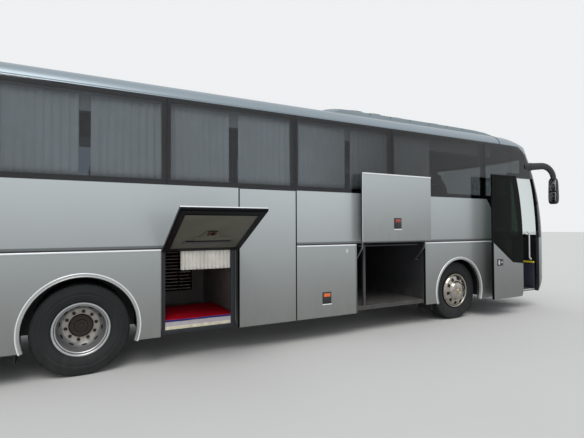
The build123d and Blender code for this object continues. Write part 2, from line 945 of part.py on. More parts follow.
def stairs():
    outer = half_width - wall - 0.3
    low = skirt_z + 17
    front = box(cab_floor_x, 5700, stair_edge_y, outer, cab_floor_z - 40, cab_floor_z)
    front += box(cab_floor_x, cab_floor_x + 20, -outer, outer, cab_floor_z - 40, deck_z)
    front += box(cab_floor_x + 20, front_door_x[0] - door_gap, -outer, stair_edge_y,
                 cab_floor_z - 40, cab_floor_z)
    x_low, x_high = front_door_x[0] - door_gap, 5500
    y_start = -outer
    for inner_y, tread in front_steps:
        front += box(x_low, x_high, y_start, inner_y, low, tread)
        y_start = inner_y
    front += box(x_low - 20, x_low, -outer, stair_edge_y, low, cab_floor_z)
    front &= lining_form
    x_low = bay_walls()[1] + bulkhead / 2 + fit_gap
    x_high = bay_walls()[2] - bulkhead / 2 - fit_gap
    tread_rise = (deck_z - middle_tread_z) / middle_treads
    tread_run = (outer + stair_edge_y) / middle_treads
    low = hold_floor_z + fit_gap
    middle = box(x_low, x_high, -outer, stair_edge_y, low, middle_tread_z)
    for index in range(1, middle_treads):
        y_low = -outer + tread_run * index
        top = middle_tread_z + tread_rise * index
        middle += box(x_low, x_high, y_low, stair_edge_y, low, top)
    return group([front, middle])


def sleeping_cabin():
    outer = half_width - wall - 0.5
    x_low = hold_end_x[0] + bulkhead / 2 + 0.3
    x_high = bay_walls()[1] - bulkhead / 2 - 0.3
    shell = box(x_low, x_high, -outer, 300, hold_floor_z + 0.3, deck_z - deck_thick - 0.3)
    shell -= box(x_low + 30, x_high - lining, -outer - 5, 300 - lining, 445, 1412)
    return shell


def cabin_mattress():
    x_low = hold_end_x[0] + bulkhead / 2 + 34
    x_high = bay_walls()[1] - bulkhead / 2 - lining - 4
    return box(x_low, x_high, -1195, -280, 445.3, 532)


def engine_block():
    return box(-5650, -4450, -379.5, 379.5, 480, 1380)


def seats():
    profile = [
        (0, 0), (60, 0), (90, 330), (420, 330), (470, 360), (470, 440), (110, 450),
        (-60, 1060), (-150, 1060), (-10, 330),
    ]
    pieces = []
    for index in range(11):
        x = -5000 + 800 * index
        for side in (-1, 1):
            if side < 0 and middle_door_x[0] - 500 < x < middle_door_x[1] + 160:
                continue
            points = [(x + a, deck_z + b) for a, b in profile]
            pieces.append(side_prism(points, side * 300, side * 1180) if side > 0 else
                          side_prism(points, -1180, -300))
    points = [(4720 + a, cab_floor_z + b) for a, b in profile]
    pieces.append(side_prism(points, 380, 860))
    return group(pieces)


curtain_thick = 30


def luggage_racks():
    pieces = []
    root = -(half_width - wall - curtain_thick - 2)
    points = [(root, 3010), (-760, 3090), (-760, 3140), (-1090, 3200), (-1090, 3500), (root, 3500)]
    rack = cross_prism(points, -5400, 4200) & lining_form
    for side in (-1, 1):
        pieces.append(sided(rack, side))
    return group(pieces)


# Curtains along the right windows and the left ones: x from, x to
right_curtains = [
    (-5470, -4680), (-4560, -3790), (-3690, -2900), (-2780, -1990), (-1890, -1120),
    (-990, -200), (-100, 760), (860, 1600), (1700, 2560),
]
left_curtains = [
    (-5470, -5100), (-4200, -3790), (-3690, -3250), (-2350, -1990), (-1890, -1500),
    (-560, -200), (-100, 300), (1250, 1600), (1700, 2100), (3480, 3840),
]
curtain_top_z = 3196


def curtains():
    pieces = []
    inner = half_width - wall - fit_gap
    for side, table in ((-1, right_curtains), (1, left_curtains)):
        for x_low, x_high in table:
            cloth = box(x_low, x_high, -inner, curtain_thick - inner, pane_low - 40, curtain_top_z)
            pieces.append(sided(cloth, side))
    top = deck_z - deck_thick - 18.3
    pieces.append(box(cabin_x[0] + 250, cabin_x[1] - 70, -1200, -1160, 1130, top))
    return group(pieces)


def dashboard():
    profile = [(5420, cab_floor_z), (5560, cab_floor_z), (5640, 1380), (5560, 1430),
               (5340, 1520), (5300, 1440), (5440, 1340)]
    desk = side_prism(profile, -380, 1120)
    hub = (5230, 620, 1722)
    rake = (hub[0] - 5420, 0, hub[2] - 1400)
    column = rod((5420, 620, 1400), hub, 40)
    rim = Cylinder(230, 28) - Cylinder(202, 40)
    wheel = Plane(origin=hub, z_dir=rake) * (rim + Box(60, 420, 24))
    return desk + column + wheel


def air_unit():
    profile = [
        (unit_x[0], roof_top_z - 90),
        (unit_x[1], roof_top_z - 90),
        (unit_x[1], roof_top_z + 30),
        (unit_x[1] - 500, unit_top_z - 90),
        (unit_x[1] - 1500, unit_top_z),
        (unit_x[0] + 260, unit_top_z),
        (unit_x[0] + 60, unit_top_z - 60),
        (unit_x[0], roof_top_z + 60),
    ]
    hood = side_prism(profile, -unit_half_width, unit_half_width)
    return hood - body_form(-0.3, skirt_z - 30)


def mirror_piece():
    """Moulded arm that bends down into the head."""
    root_x, root_y, root_z = mirror_root
    lean = Vector(mirror_head_x - root_x, root_y - mirror_head_y, 0)
    upright = Plane(origin=(root_x, -root_y, root_z), x_dir=lean, z_dir=lean.cross(Vector(0, 0, 1)))
    bend = (lean.length * 0.55, 80)
    drop = (lean.length, -285)
    run = Line((0, 0), bend)
    turn = TangentArc(bend, drop, tangent=bend)
    path = upright * (run + turn)
    section = Plane(origin=path @ 0, z_dir=path % 0) * Circle(mirror_arm_radius)
    arm = sweep(section, path)
    head = Pos(mirror_head_x, -mirror_head_y, mirror_head_z) * Box(*mirror_head)
    return arm + fillet(head.edges(), mirror_round)


def mirrors():
    right = mirror_piece() - body_form(-0.3, skirt_z - 30)
    return group([right, mirror(right, Plane.XZ)])


# Wipers, seen from ahead: spindle y, tip y, tip z
wiper_table = [(-700, -60, 1640), (150, 820, 1640)]
wiper_spindle_z = 1490


def wipers():
    layer = body_form(-26, inner_low) - body_form(-10, inner_low)
    pieces = []
    for spindle_y, tip_y, tip_z in wiper_table:
        run = tip_y - spindle_y
        arm = [
            (spindle_y - 16, wiper_spindle_z - 16), (spindle_y + 10, wiper_spindle_z - 22),
            (spindle_y + run * 0.6 + 6, wiper_spindle_z + 84),
            (spindle_y + run * 0.6, wiper_spindle_z + 100),
        ]
        blade = [
            (spindle_y + 120, wiper_spindle_z + 30), (spindle_y + 122, wiper_spindle_z + 12),
            (tip_y, tip_z - 18), (tip_y - 2, tip_z),
        ]
        strip = cross_prism(arm, 5000, 6100) + cross_prism(blade, 5000, 6100)
        spindle = rod((5500, spindle_y, wiper_spindle_z), (6100, spindle_y, wiper_spindle_z), 22)
        cap = body_form(-30, inner_low) - body_form(-0.3, inner_low)
        pieces.append((strip & layer) + (spindle & cap))
    return group(pieces)


def marker_lamps():
    pieces = []
    for x in (-4700, -3600, -2120, 2500, 4100):
        for side in (-1, 1):
            lamp = box(x - 60, x + 60, -half_width - 14, -half_width - 0.2, 610, 660)
            pieces.append(sided(lamp, side))
    return group(pieces)


def mud_flaps():
    pieces = []
    table = [
        (front_axle_x - front_house_x, 860, 1190),
        (rear_axle_x - rear_house_x, 620, 1190),
    ]
    for wall_x, inner, outer in table:
        flap = box(wall_x + fit_gap, wall_x + fit_gap + 12, -outer, -inner, 210, 700)
        pieces += [flap, sided(flap, 1)]
    return group(pieces)


# Doors

def door_motion():
    """How far an opened leaf stands off its closed place: along the side, and outwards."""
    angle = math.radians(door_swing)
    return door_arm_length * (1 - math.cos(angle)), door_arm_length * math.sin(angle)


door_shift, door_outset = door_motion()
door_pivot_y = -(half_width - door_pivot_depth)


def link(points, width):
    """A flat link: round-ended legs from point to point."""
    face = None
    for start, end in zip(points, points[1:]):
        run = math.hypot(end[0] - start[0], end[1] - start[1])
        turn = math.degrees(math.atan2(end[1] - start[1], end[0] - start[0]))
        middle = ((start[0] + end[0]) / 2, (start[1] + end[1]) / 2)
        leg = Pos(*middle) * Rot(0, 0, turn) * SlotCenterToCenter(run, width)
        face = leg if face is None else face + leg
    return face


def door_arm(pivot_x, lead, opened, foot_z, heights):
    """Column inside the doorway with two swan-neck arms; lead is +1 where the arm closes forwards."""
    swing = math.radians(door_swing if opened else 0)
    crank = math.radians(door_swing - 90)
    tip = (lead * door_arm_length * math.cos(swing), -door_arm_length * math.sin(swing))
    turned = crank - swing
    elbow = (lead * door_elbow * math.cos(turned), door_elbow * math.sin(turned))
    foot = (pivot_x, door_pivot_y, foot_z + fit_gap)
    head = (pivot_x, door_pivot_y, heights[1] + door_column_rise)
    column = rod(foot, head, door_column_radius)
    points = [(0, 0), elbow, tip]
    for z in heights:
        flat = Plane(origin=(pivot_x, door_pivot_y, z - door_arm_thick / 2)) * link(points, 34)
        column += extrude(flat, door_arm_thick)
    return column


def door_brackets(attach_x, heights):
    pieces = []
    inner = -(half_width - door_thick)
    for z in heights:
        base = z + door_arm_thick / 2 + pin_gap
        lug = box(attach_x - 20, attach_x + 20, inner - 1, door_pivot_y + 20, base, base + door_bracket)
        pieces.append(lug)
    return pieces


front_column_x = front_door_x[0] + door_column_inset
middle_column_x = middle_door_x[1] - door_column_inset


def front_leaf():
    """The leaf and its glass, drawn closed and then carried to the open place."""
    leaf = door_skin & front_door_prism(0)
    rear, front = front_door_x
    dark = side_prism([
        (rear + 12, 1370), (rear + 550, 1000), (front + 50, 962), (front + 50, 2700),
        (rear + 12, 2700),
    ], -1500, 0)
    dark &= front_door_prism(-12)
    view = side_prism([
        (rear + 70, 1440), (rear + 590, 1070), (front - 60, 1035), (front - 60, 1450),
        (front_door_top_x - 70, 2560), (rear + 70, 2560),
    ], -1500, 0)
    glass = glass_skin & dark
    leaf -= seat_skin & dark
    leaf -= view
    attach_x = front_column_x + door_arm_length
    for lug in door_brackets(attach_x, front_arm_heights):
        leaf += lug
    carry = Pos(-door_shift, -door_outset, 0)
    return carry * leaf, carry * glass


def middle_leaf():
    outer, inner = -half_width, -(half_width - door_thick)
    leaf = box(*middle_door_x, outer, inner, skirt_z, middle_door_top_z)
    for lug in door_brackets(middle_column_x - door_arm_length, middle_arm_heights):
        leaf += lug
    return leaf


# Flaps

def flap_pivot():
    """Pivot of a luggage flap's arms, drawn for the right side: y, z."""
    closed = math.radians(flap_closed_angle)
    y = -(half_width - flap_attach_depth) + flap_arm_length * math.cos(closed)
    return y, flap_pivot_z


flap_pivot_y = flap_pivot()[0]


def flap_swing(opened):
    return flap_open_angle if opened else flap_closed_angle


def flap_tip(opened):
    angle = math.radians(flap_swing(opened))
    y = flap_pivot_y - flap_arm_length * math.cos(angle)
    return y, flap_pivot_z + flap_arm_length * math.sin(angle)


def flap_arms(x_range, side, opened):
    """Two cranked arms with stub pins that reach the bulkheads beside them."""
    tip = flap_tip(opened)
    reach = math.hypot(*flap_elbow)
    crank = math.degrees(math.atan2(flap_elbow[1], flap_elbow[0])) - flap_open_angle
    angle = math.radians(flap_swing(opened) + crank)
    elbow = (flap_pivot_y - reach * math.cos(angle), flap_pivot_z + reach * math.sin(angle))
    face = link([(flap_pivot_y, flap_pivot_z), elbow, tip], flap_arm_width)
    walls = bay_walls()
    pieces = []
    low_wall = max(x for x in walls if x < x_range[0] + 20) + bulkhead / 2
    high_wall = min(x for x in walls if x > x_range[1] - 20) - bulkhead / 2
    low_x = x_range[0] + flap_arm_inset
    high_x = x_range[1] - flap_arm_inset
    for x, wall_x in ((low_x, low_wall + pin_gap), (high_x, high_wall - pin_gap)):
        arm = extrude(cross_plane(x - flap_arm_thick / 2) * face, flap_arm_thick)
        pin = rod((x, flap_pivot_y, flap_pivot_z), (wall_x, flap_pivot_y, flap_pivot_z), 10)
        pieces.append(sided(arm + pin, side))
    return group(pieces)


def luggage_flap(x_range, side, opened):
    inner = -(half_width - flap_thick)
    panel = box(*x_range, -half_width, inner, skirt_z, flap_top_z)
    tip_y, tip_z = flap_tip(False)
    low_x = x_range[0] + flap_arm_inset + flap_arm_thick / 2 + pin_gap
    high_x = x_range[1] - flap_arm_inset - flap_arm_thick / 2 - pin_gap
    for x in (low_x, high_x - flap_bracket):
        panel += box(x, x + flap_bracket, inner - 1, tip_y + 14, tip_z - 30, tip_z + 30)
    if opened:
        open_y, open_z = flap_tip(True)
        panel = Pos(0, open_y - tip_y, open_z - tip_z) * panel
    return sided(panel, side)


def cabin_flap():
    """Hatch of the rest cabin, drawn closed and then turned up about its top hinge."""
    inner = -(half_width - hatch_thick)
    panel = box(*cabin_x, -half_width, inner, skirt_z, flap_top_z)
    rim = box(cabin_x[0] + 14, cabin_x[1] - 14, inner - 1, inner + hatch_rim, skirt_z + 30, 1380)
    rim -= box(cabin_x[0] + 74, cabin_x[1] - 74, inner - 2, inner + 50, skirt_z + 90, 1320)
    panel += rim
    panel += hinge_knuckles(hatch_hinge_x, hatch_hinge_y, hatch_hinge_z, False)
    hinge = Axis((0, -hatch_hinge_y, hatch_hinge_z), (-1, 0, 0))
    return panel.rotate(hinge, hatch_open_angle)


def build_pieces():
    """Every piece by name, drawn about the coach's own centre plane."""
    pieces = {
        "floor_deck": floor_deck(),
        "luggage_hold": luggage_hold(),
        "chassis_rails": chassis_rails(),
        "side_wall_right": side_wall(-1),
        "side_wall_left": side_wall(1),
        "side_skirts_right": side_skirts(-1),
        "side_skirts_left": side_skirts(1),
        "side_glass": side_panes(),
        "roof_panel": roof_panel(),
        "roof_front_cap": front_cap(),
        "front_mask": front_mask(),
        "front_grille": front_grille(),
        "front_frame": front_frame(),
        "windscreen": windscreen(),
        "rear_wall": rear_wall(),
        "rear_window": rear_window(),
        "air_unit": air_unit(),
        "stairs": stairs(),
        "sleeping_cabin": sleeping_cabin(),
        "cabin_mattress": cabin_mattress(),
        "curtains": curtains(),
        "dashboard": dashboard(),
        "seats": seats(),
        "luggage_racks": luggage_racks(),
        "headlamps": headlamps(),
        "tail_lamps": tail_lamps(),
        "marker_lamps": marker_lamps(),
        "mirrors": mirrors(),
        "wipers": wipers(),
        "mud_flaps": mud_flaps(),
        "wheel_houses": wheel_houses(),
        "front_axle": front_axle(),
        "rear_axle": rear_axle(),
        "engine_block": engine_block(),
        "engine_flap": engine_flap(),
        "cabin_flap": cabin_flap(),
    }
    for name, side in (("right", -1), ("left", 1)):
        pieces["knuckle_" + name] = knuckle(side)
        pieces["front_tyre_" + name] = tyre(front_axle_x, side * front_tyre_y, side)
        pieces["front_rim_" + name] = front_rim(front_axle_x, side * front_tyre_y, side)
        twins = [tyre(rear_axle_x, side * y, side) for y in (rear_outer_y, rear_inner_y)]
        pieces["rear_tyres_" + name] = group(twins)
        pieces["rear_rims_" + name] = rear_rims(rear_axle_x, side)
        for number, x_range in ((2, flap_2_x), (3, flap_3_x)):
            opened = side < 0 and number == 3
            label = f"flap_{number}_{name}"
            pieces[label] = luggage_flap(x_range, side, opened)
            pieces[label + "_arms"] = flap_arms(x_range, side, opened)
    leaf, glass = front_leaf()
    pieces["front_door_leaf"] = leaf
    pieces["front_door_glass"] = glass
    pieces["front_door_arm"] = door_arm(
        front_column_x, 1, True, first_tread_z, front_arm_heights
    )
    pieces["middle_door_leaf"] = middle_leaf()
    pieces["middle_door_arm"] = door_arm(
        middle_column_x, -1, False, middle_tread_z, middle_arm_heights
    )
    return pieces


# Reach to each side, and the shift that centres the whole outline
hatch_angle = math.radians(hatch_open_angle)
hatch_length = hatch_hinge_z - skirt_z
right_reach = half_width + hatch_hinge_out + hatch_length * math.sin(hatch_angle)
left_reach = mirror_head_y + mirror_head[1] / 2
centre_y = (right_reach - left_reach) / 2

os.makedirs("parts", exist_ok=True)
for name, piece in build_pieces().items():
    export_step(Pos(0, centre_y, 0) * piece, f"parts/{name}.step")
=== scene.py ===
"""Looks of the touring coach: a finish for every solid of the frame, and the detail that stands on it."""
import math

import bmesh
import bpy
from mathutils import Matrix, Vector, noise


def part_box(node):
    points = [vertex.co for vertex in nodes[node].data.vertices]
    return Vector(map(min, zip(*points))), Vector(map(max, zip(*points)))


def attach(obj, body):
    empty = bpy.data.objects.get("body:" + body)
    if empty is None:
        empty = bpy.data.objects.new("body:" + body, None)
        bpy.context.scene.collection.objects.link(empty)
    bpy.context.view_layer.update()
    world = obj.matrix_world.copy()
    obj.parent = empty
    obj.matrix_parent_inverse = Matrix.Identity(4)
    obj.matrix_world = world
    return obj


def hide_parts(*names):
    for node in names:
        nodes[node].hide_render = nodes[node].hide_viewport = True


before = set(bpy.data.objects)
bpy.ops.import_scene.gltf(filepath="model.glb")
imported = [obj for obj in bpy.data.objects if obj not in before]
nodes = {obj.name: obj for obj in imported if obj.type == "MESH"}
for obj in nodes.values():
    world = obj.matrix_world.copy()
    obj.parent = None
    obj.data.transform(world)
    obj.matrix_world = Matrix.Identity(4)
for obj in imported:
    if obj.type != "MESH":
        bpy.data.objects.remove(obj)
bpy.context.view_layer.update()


def middle(node):
    low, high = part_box(node)
    return (low + high) / 2


# Sizes of the coach in metres. Shapes are drawn about its own centre plane, which stands at
# y = centre_y in the frame; every new piece is shifted there when it is finished. The right side is -Y.

half_width = 1.275
wall_thick = 0.060
centre_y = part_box("side_wall_left")[1].y - half_width
skirt_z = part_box("side_skirts_left")[0].z
lip_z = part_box("side_skirts_left")[1].z
deck_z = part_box("floor_deck")[1].z
front_axle_x = middle("front_tyre_left").x
rear_axle_x = middle("rear_tyres_left").x
tyre_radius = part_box("front_tyre_left")[1].z / 2
front_tyre_y = middle("front_tyre_left").y - centre_y
arch_z = 0.530
arch_radius = {"front": 0.553, "rear": 0.586}
wall_rear_x = -5.640
wall_front_x = 5.300
front_skirt_x = 2.368
cabin_wall_x = -2.007
left_skirt_x = -0.137
door_rear_x = 4.680
hands = (("right", -1), ("left", 1))
flap_labels = ("2_right", "2_left", "3_right", "3_left")


def space(node):
    """The corners of a solid's box, about the coach's own centre plane."""
    low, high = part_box(node)
    shift = Vector((0, centre_y, 0))
    return low - shift, high - shift


def flap_place(label):
    """A luggage flap's corners, the side it is on, and where its outer face stands."""
    low, high = space("flap_" + label)
    side = -1 if "right" in label else 1
    return low, high, side, low.y if side < 0 else high.y


# Camera at the photograph's viewing place

film_width = 36
view_distance = 500
camera_place = Vector((-2.961, centre_y - 6.475, 1.651))
camera_yaw = math.radians(27.91)
camera_pitch = math.radians(1.287)
camera_roll = math.radians(-0.216)
camera_lens = 25.58


def add_camera():
    data = bpy.data.cameras.new("camera")
    data.lens = camera_lens
    data.sensor_width = film_width
    data.clip_end = view_distance
    holder = bpy.data.objects.new("camera", data)
    bpy.context.scene.collection.objects.link(holder)
    ahead = Vector((
        math.sin(camera_yaw) * math.cos(camera_pitch),
        math.cos(camera_yaw) * math.cos(camera_pitch),
        math.sin(camera_pitch),
    ))
    across = Vector((math.cos(camera_yaw), -math.sin(camera_yaw), 0))
    upward = across.cross(ahead)
    right = math.cos(camera_roll) * across + math.sin(camera_roll) * upward
    top = math.cos(camera_roll) * upward - math.sin(camera_roll) * across
    turn = Matrix((right, top, -ahead)).transposed().to_4x4()
    holder.matrix_world = Matrix.Translation(camera_place) @ turn
    bpy.context.scene.camera = holder


# Shader groups shared by many finishes

def shader_group(name, inputs, outputs):
    """An empty group with its sockets; inputs are (label, kind, value)."""
    tree = bpy.data.node_groups.new(name, "ShaderNodeTree")
    for label, kind, value in inputs:
        socket = tree.interface.new_socket(label, in_out="INPUT", socket_type="NodeSocket" + kind)
        socket.default_value = value
    for label, kind in outputs:
        tree.interface.new_socket(label, in_out="OUTPUT", socket_type="NodeSocket" + kind)
    return tree, tree.nodes.new("NodeGroupInput").outputs, tree.nodes.new("NodeGroupOutput").inputs


def add_node(tree, kind, settings=None, **inputs):
    """A node with its settings, and each named input either given a value or linked."""
    node = tree.nodes.new("ShaderNode" + kind)
    for key, value in (settings or {}).items():
        setattr(node, key, value)
    for key, value in inputs.items():
        label = key.replace("_", " ")
        socket = node.inputs[int(key[1:])] if key[1:].isdigit() else node.inputs[label]
        if isinstance(value, bpy.types.NodeSocket):
            tree.links.new(value, socket)
        else:
            socket.default_value = value
    return node


def do_math(tree, operation, first, second=0.0, clamp=False):
    settings = {"operation": operation, "use_clamp": clamp}
    return add_node(tree, "Math", settings, i0=first, i1=second).outputs[0]


def blend_colour(tree, share, first, second, way="MIX"):
    settings = {"data_type": "RGBA", "blend_type": way}
    return add_node(tree, "Mix", settings, i0=share, i6=first, i7=second).outputs[2]


def place(tree):
    return tree.nodes.new("ShaderNodeTexCoord").outputs["Object"]


def spread(tree, value, low, high, out_low=0.0, out_high=1.0):
    node = add_node(tree, "MapRange", {"interpolation_type": "SMOOTHSTEP"}, Value=value)
    node.inputs["From Min"].default_value = low
    node.inputs["From Max"].default_value = high
    node.inputs["To Min"].default_value = out_low
    node.inputs["To Max"].default_value = out_high
    return node.outputs[0]


def make_drift_group():
    """Slow change of tone over a surface."""
    tree, given, out = shader_group(
        "tone drift",
        [("Colour", "Color", (0.5, 0.5, 0.5, 1)), ("Scale", "Float", 2.0), ("Amount", "Float", 0.1)],
        [("Colour", "Color"), ("Mask", "Float")],
    )
    cloud = add_node(tree, "TexNoise", Vector=place(tree), Scale=given["Scale"], Detail=5.0)
    mask = spread(tree, cloud.outputs[0], 0.3, 0.7)
    dark = blend_colour(tree, 1.0, given["Colour"], (0.55, 0.53, 0.5, 1), "MULTIPLY")
    share = do_math(tree, "MULTIPLY", mask, given["Amount"])
    tree.links.new(blend_colour(tree, share, given["Colour"], dark), out["Colour"])
    tree.links.new(mask, out["Mask"])
    return tree


def make_road_dirt_group():
    """Dust and splashes that thin out upwards from a lower edge."""
    tree, given, out = shader_group(
        "road dirt",
        [("Colour", "Color", (0.5, 0.5, 0.5, 1)), ("Dirt", "Color", (0.16, 0.145, 0.125, 1)),
         ("Low", "Float", 0.3), ("Height", "Float", 0.8), ("Amount", "Float", 0.5)],
        [("Colour", "Color"), ("Mask", "Float")],
    )
    coat = place(tree)
    split = add_node(tree, "SeparateXYZ", Vector=coat)
    rise = do_math(tree, "SUBTRACT", split.outputs[2], given["Low"])
    rise = do_math(tree, "DIVIDE", rise, given["Height"])
    fade = do_math(tree, "SUBTRACT", 1.0, rise, True)
    fade = do_math(tree, "POWER", fade, 2.2)
    stretch = add_node(tree, "Mapping", Vector=coat, Scale=(1.0, 1.0, 0.35))
    streak = add_node(tree, "TexNoise", Vector=stretch.outputs[0], Scale=9.0, Detail=7.0, Roughness=0.62)
    patch = spread(tree, streak.outputs[0], 0.32, 0.68, 0.25, 1.0)
    speck = add_node(tree, "TexNoise", Vector=coat, Scale=160.0, Detail=2.0)
    fine = spread(tree, speck.outputs[0], 0.45, 0.7, 0.7, 1.0)
    mask = do_math(tree, "MULTIPLY", fade, patch)
    mask = do_math(tree, "MULTIPLY", mask, fine)
    mask = do_math(tree, "MULTIPLY", mask, given["Amount"], True)
    tree.links.new(blend_colour(tree, mask, given["Colour"], given["Dirt"]), out["Colour"])
    tree.links.new(mask, out["Mask"])
    return tree


def make_grain_group():
    """Two sizes of grain as one height: moulded plastic, leather, cast iron or foam."""
    tree, given, out = shader_group(
        "surface grain", [("Scale", "Float", 300.0), ("Coarse", "Float", 0.3)], [("Height", "Float")],
    )
    spot = place(tree)
    fine = add_node(tree, "TexNoise", Vector=spot, Scale=given["Scale"], Detail=3.0)
    wide = do_math(tree, "MULTIPLY", given["Scale"], 0.12)
    broad = add_node(tree, "TexNoise", Vector=spot, Scale=wide, Detail=2.0)
    share = do_math(tree, "MULTIPLY", broad.outputs[0], given["Coarse"])
    tree.links.new(do_math(tree, "ADD", fine.outputs[0], share), out["Height"])
    return tree


def make_weave_group():
    """Crossing threads: height, and a mask of the threads that run upwards."""
    tree, given, out = shader_group(
        "cloth weave", [("Scale", "Float", 350.0)], [("Height", "Float"), ("Mask", "Float")],
    )
    spot = place(tree)
    bands = []
    for direction in ("X", "Z"):
        settings = {"wave_type": "BANDS", "bands_direction": direction}
        wave = add_node(tree, "TexWave", settings, Vector=spot, Scale=given["Scale"], Distortion=0.6)
        bands.append(wave.outputs["Fac"])
    tree.links.new(do_math(tree, "MAXIMUM", *bands), out["Height"])
    tree.links.new(bands[0], out["Mask"])
    return tree


def make_brush_group():
    """Fine lines left by rolling or turning, long in X."""
    tree, given, out = shader_group(
        "drawn lines", [("Scale", "Float", 200.0)], [("Height", "Float")],
    )
    stretch = add_node(tree, "Mapping", Vector=place(tree), Scale=(0.04, 1.0, 1.0))
    lines = add_node(tree, "TexNoise", Vector=stretch.outputs[0], Scale=given["Scale"], Detail=3.0)
    tree.links.new(lines.outputs[0], out["Height"])
    return tree


def make_outside_group():
    """1 on the faces of a shell that look away from a point inside it."""
    tree, given, out = shader_group(
        "outer side", [("Inside", "Vector", (0, 0, 1.8)), ("Weights", "Vector", (0, 1, 1))],
        [("Mask", "Float")],
    )
    coordinates = tree.nodes.new("ShaderNodeTexCoord")
    away = add_node(
        tree, "VectorMath", {"operation": "SUBTRACT"}, i0=coordinates.outputs["Object"], i1=given["Inside"],
    )
    away = add_node(tree, "VectorMath", {"operation": "MULTIPLY"}, i0=away.outputs[0], i1=given["Weights"])
    facing = add_node(
        tree, "VectorMath", {"operation": "DOT_PRODUCT"}, i0=away.outputs[0],
        i1=coordinates.outputs["Normal"],
    )
    tree.links.new(do_math(tree, "GREATER_THAN", facing.outputs["Value"], 0.02), out["Mask"])
    return tree


groups = {
    "drift": make_drift_group(),
    "dirt": make_road_dirt_group(),
    "grain": make_grain_group(),
    "weave": make_weave_group(),
    "brush": make_brush_group(),
    "outside": make_outside_group(),
}


# Finishes

def tone(red, green=None, blue=None):
    return (red, red if green is None else green, red if blue is None else blue, 1)


class Finish:
    """A material with one shader, and the groups that feed it."""

    def __init__(self, name, colour, roughness, **plain):
        self.material = bpy.data.materials.new(name)
        self.material.use_nodes = True
        self.tree = self.material.node_tree
        self.shader = self.tree.nodes["Principled BSDF"]
        self.shader.inputs["Base Color"].default_value = colour
        self.shader.inputs["Roughness"].default_value = roughness
        self.roughness = roughness
        self.colour = colour
        for key, value in plain.items():
            self.shader.inputs[key.replace("_", " ").title().replace("Ior", "IOR")].default_value = value
        self.material.diffuse_color = colour

    def group(self, name, **inputs):
        node = self.tree.nodes.new("ShaderNodeGroup")
        node.node_tree = groups[name]
        for label, value in inputs.items():
            if isinstance(value, bpy.types.NodeSocket):
                self.tree.links.new(value, node.inputs[label])
            else:
                node.inputs[label].default_value = value
        return node.outputs

    def set_colour(self, colour):
        self.colour = colour
        self.tree.links.new(colour, self.shader.inputs["Base Color"])

    def drift(self, scale=2.0, amount=0.15):
        self.set_colour(self.group("drift", Colour=self.colour, Scale=scale, Amount=amount)["Colour"])
        return self

    def dirt(self, low=0.30, height=0.9, amount=0.5, dirt=tone(0.16, 0.145, 0.125)):
        made = self.group("dirt", Colour=self.colour, Dirt=dirt, Low=low, Height=height, Amount=amount)
        self.set_colour(made["Colour"])
        rough = do_math(self.tree, "MULTIPLY", made["Mask"], 0.75 - self.roughness)
        rough = do_math(self.tree, "ADD", rough, self.roughness)
        self.tree.links.new(rough, self.shader.inputs["Roughness"])
        return self

    def bump(self, height, strength, distance=0.001):
        node = add_node(self.tree, "Bump", Height=height, Strength=strength, Distance=distance)
        self.tree.links.new(node.outputs[0], self.shader.inputs["Normal"])
        return self

    def grain(self, scale=300.0, strength=0.2, coarse=0.3):
        return self.bump(self.group("grain", Scale=scale, Coarse=coarse)["Height"], strength)

    def weave(self, scale=350.0, strength=0.5, second=None):
        made = self.group("weave", Scale=scale)
        if second:
            self.set_colour(blend_colour(self.tree, made["Mask"], self.colour, second))
        return self.bump(made["Height"], strength, 0.0008)

    def brush(self, scale=200.0, strength=0.15):
        return self.bump(self.group("brush", Scale=scale)["Height"], strength, 0.0006)


silver = tone(0.55, 0.595, 0.61)
shaded_silver = tone(0.265, 0.275, 0.268)
pale_grey = tone(0.298, 0.352, 0.392)
# Near black is used for black parts, and also as painted shade in the wall's fold.
near_black = tone(0.012, 0.012, 0.014)
# A painted highlight for the hatch's edge faces.
edge_highlight = tone(0.80, 0.82, 0.83)

# Painted shade on the silver: darker towards the ground between these heights, and, as a painted reflection,
# darker along this stretch towards the front, down to a share.
shaded_z = (0.1, 2.5)
shaded_x = (0.5, 4.4)
front_shade_share = 0.80
flake_shine = 0.45

# Painted shade in the side glass: it turns from its rear tint to a darker front colour along this stretch.
front_glass_shade_x = (-0.6, 1.7)

# Painted side wall: its fold under the glass, darkened as painted shade, its top edge, the rear corner, and
# how deep the paint goes
fold_z = (1.440, 1.454)
fold_shade = 0.62
paint_top_z = 3.205
rear_corner_x = -5.300
paint_depth = 0.006

# The front door's pane lies above two lines, each as (slope, height at x = 0).
pane_lines = ((-0.6877, 4.0018), (-0.105, 1.4583))

# The rest cabin's hatch stands turned up about its hinge line, which is hatch_out outside the wall.
hatch_angle = math.radians(117)
hatch_out = 0.008
hatch_skin = 0.012
hatch_hinge = Vector((0, -(half_width + hatch_out), 1.408))


def weighted_sum(tree, first, first_share, second, second_share):
    return do_math(tree, "ADD", do_math(tree, "MULTIPLY", first, first_share),
                   do_math(tree, "MULTIPLY", second, second_share))


def closed_hatch_place(tree, off, up):
    """Where a point of the hatch stands once it is closed: its height, and how far out of the hinge line."""
    aside = do_math(tree, "SUBTRACT", off, centre_y + hatch_hinge.y)
    over = do_math(tree, "SUBTRACT", up, hatch_hinge.z)
    sine, cosine = math.sin(hatch_angle), math.cos(hatch_angle)
    height = do_math(tree, "ADD", weighted_sum(tree, aside, sine, over, cosine), hatch_hinge.z)
    return height, weighted_sum(tree, aside, -cosine, over, sine)


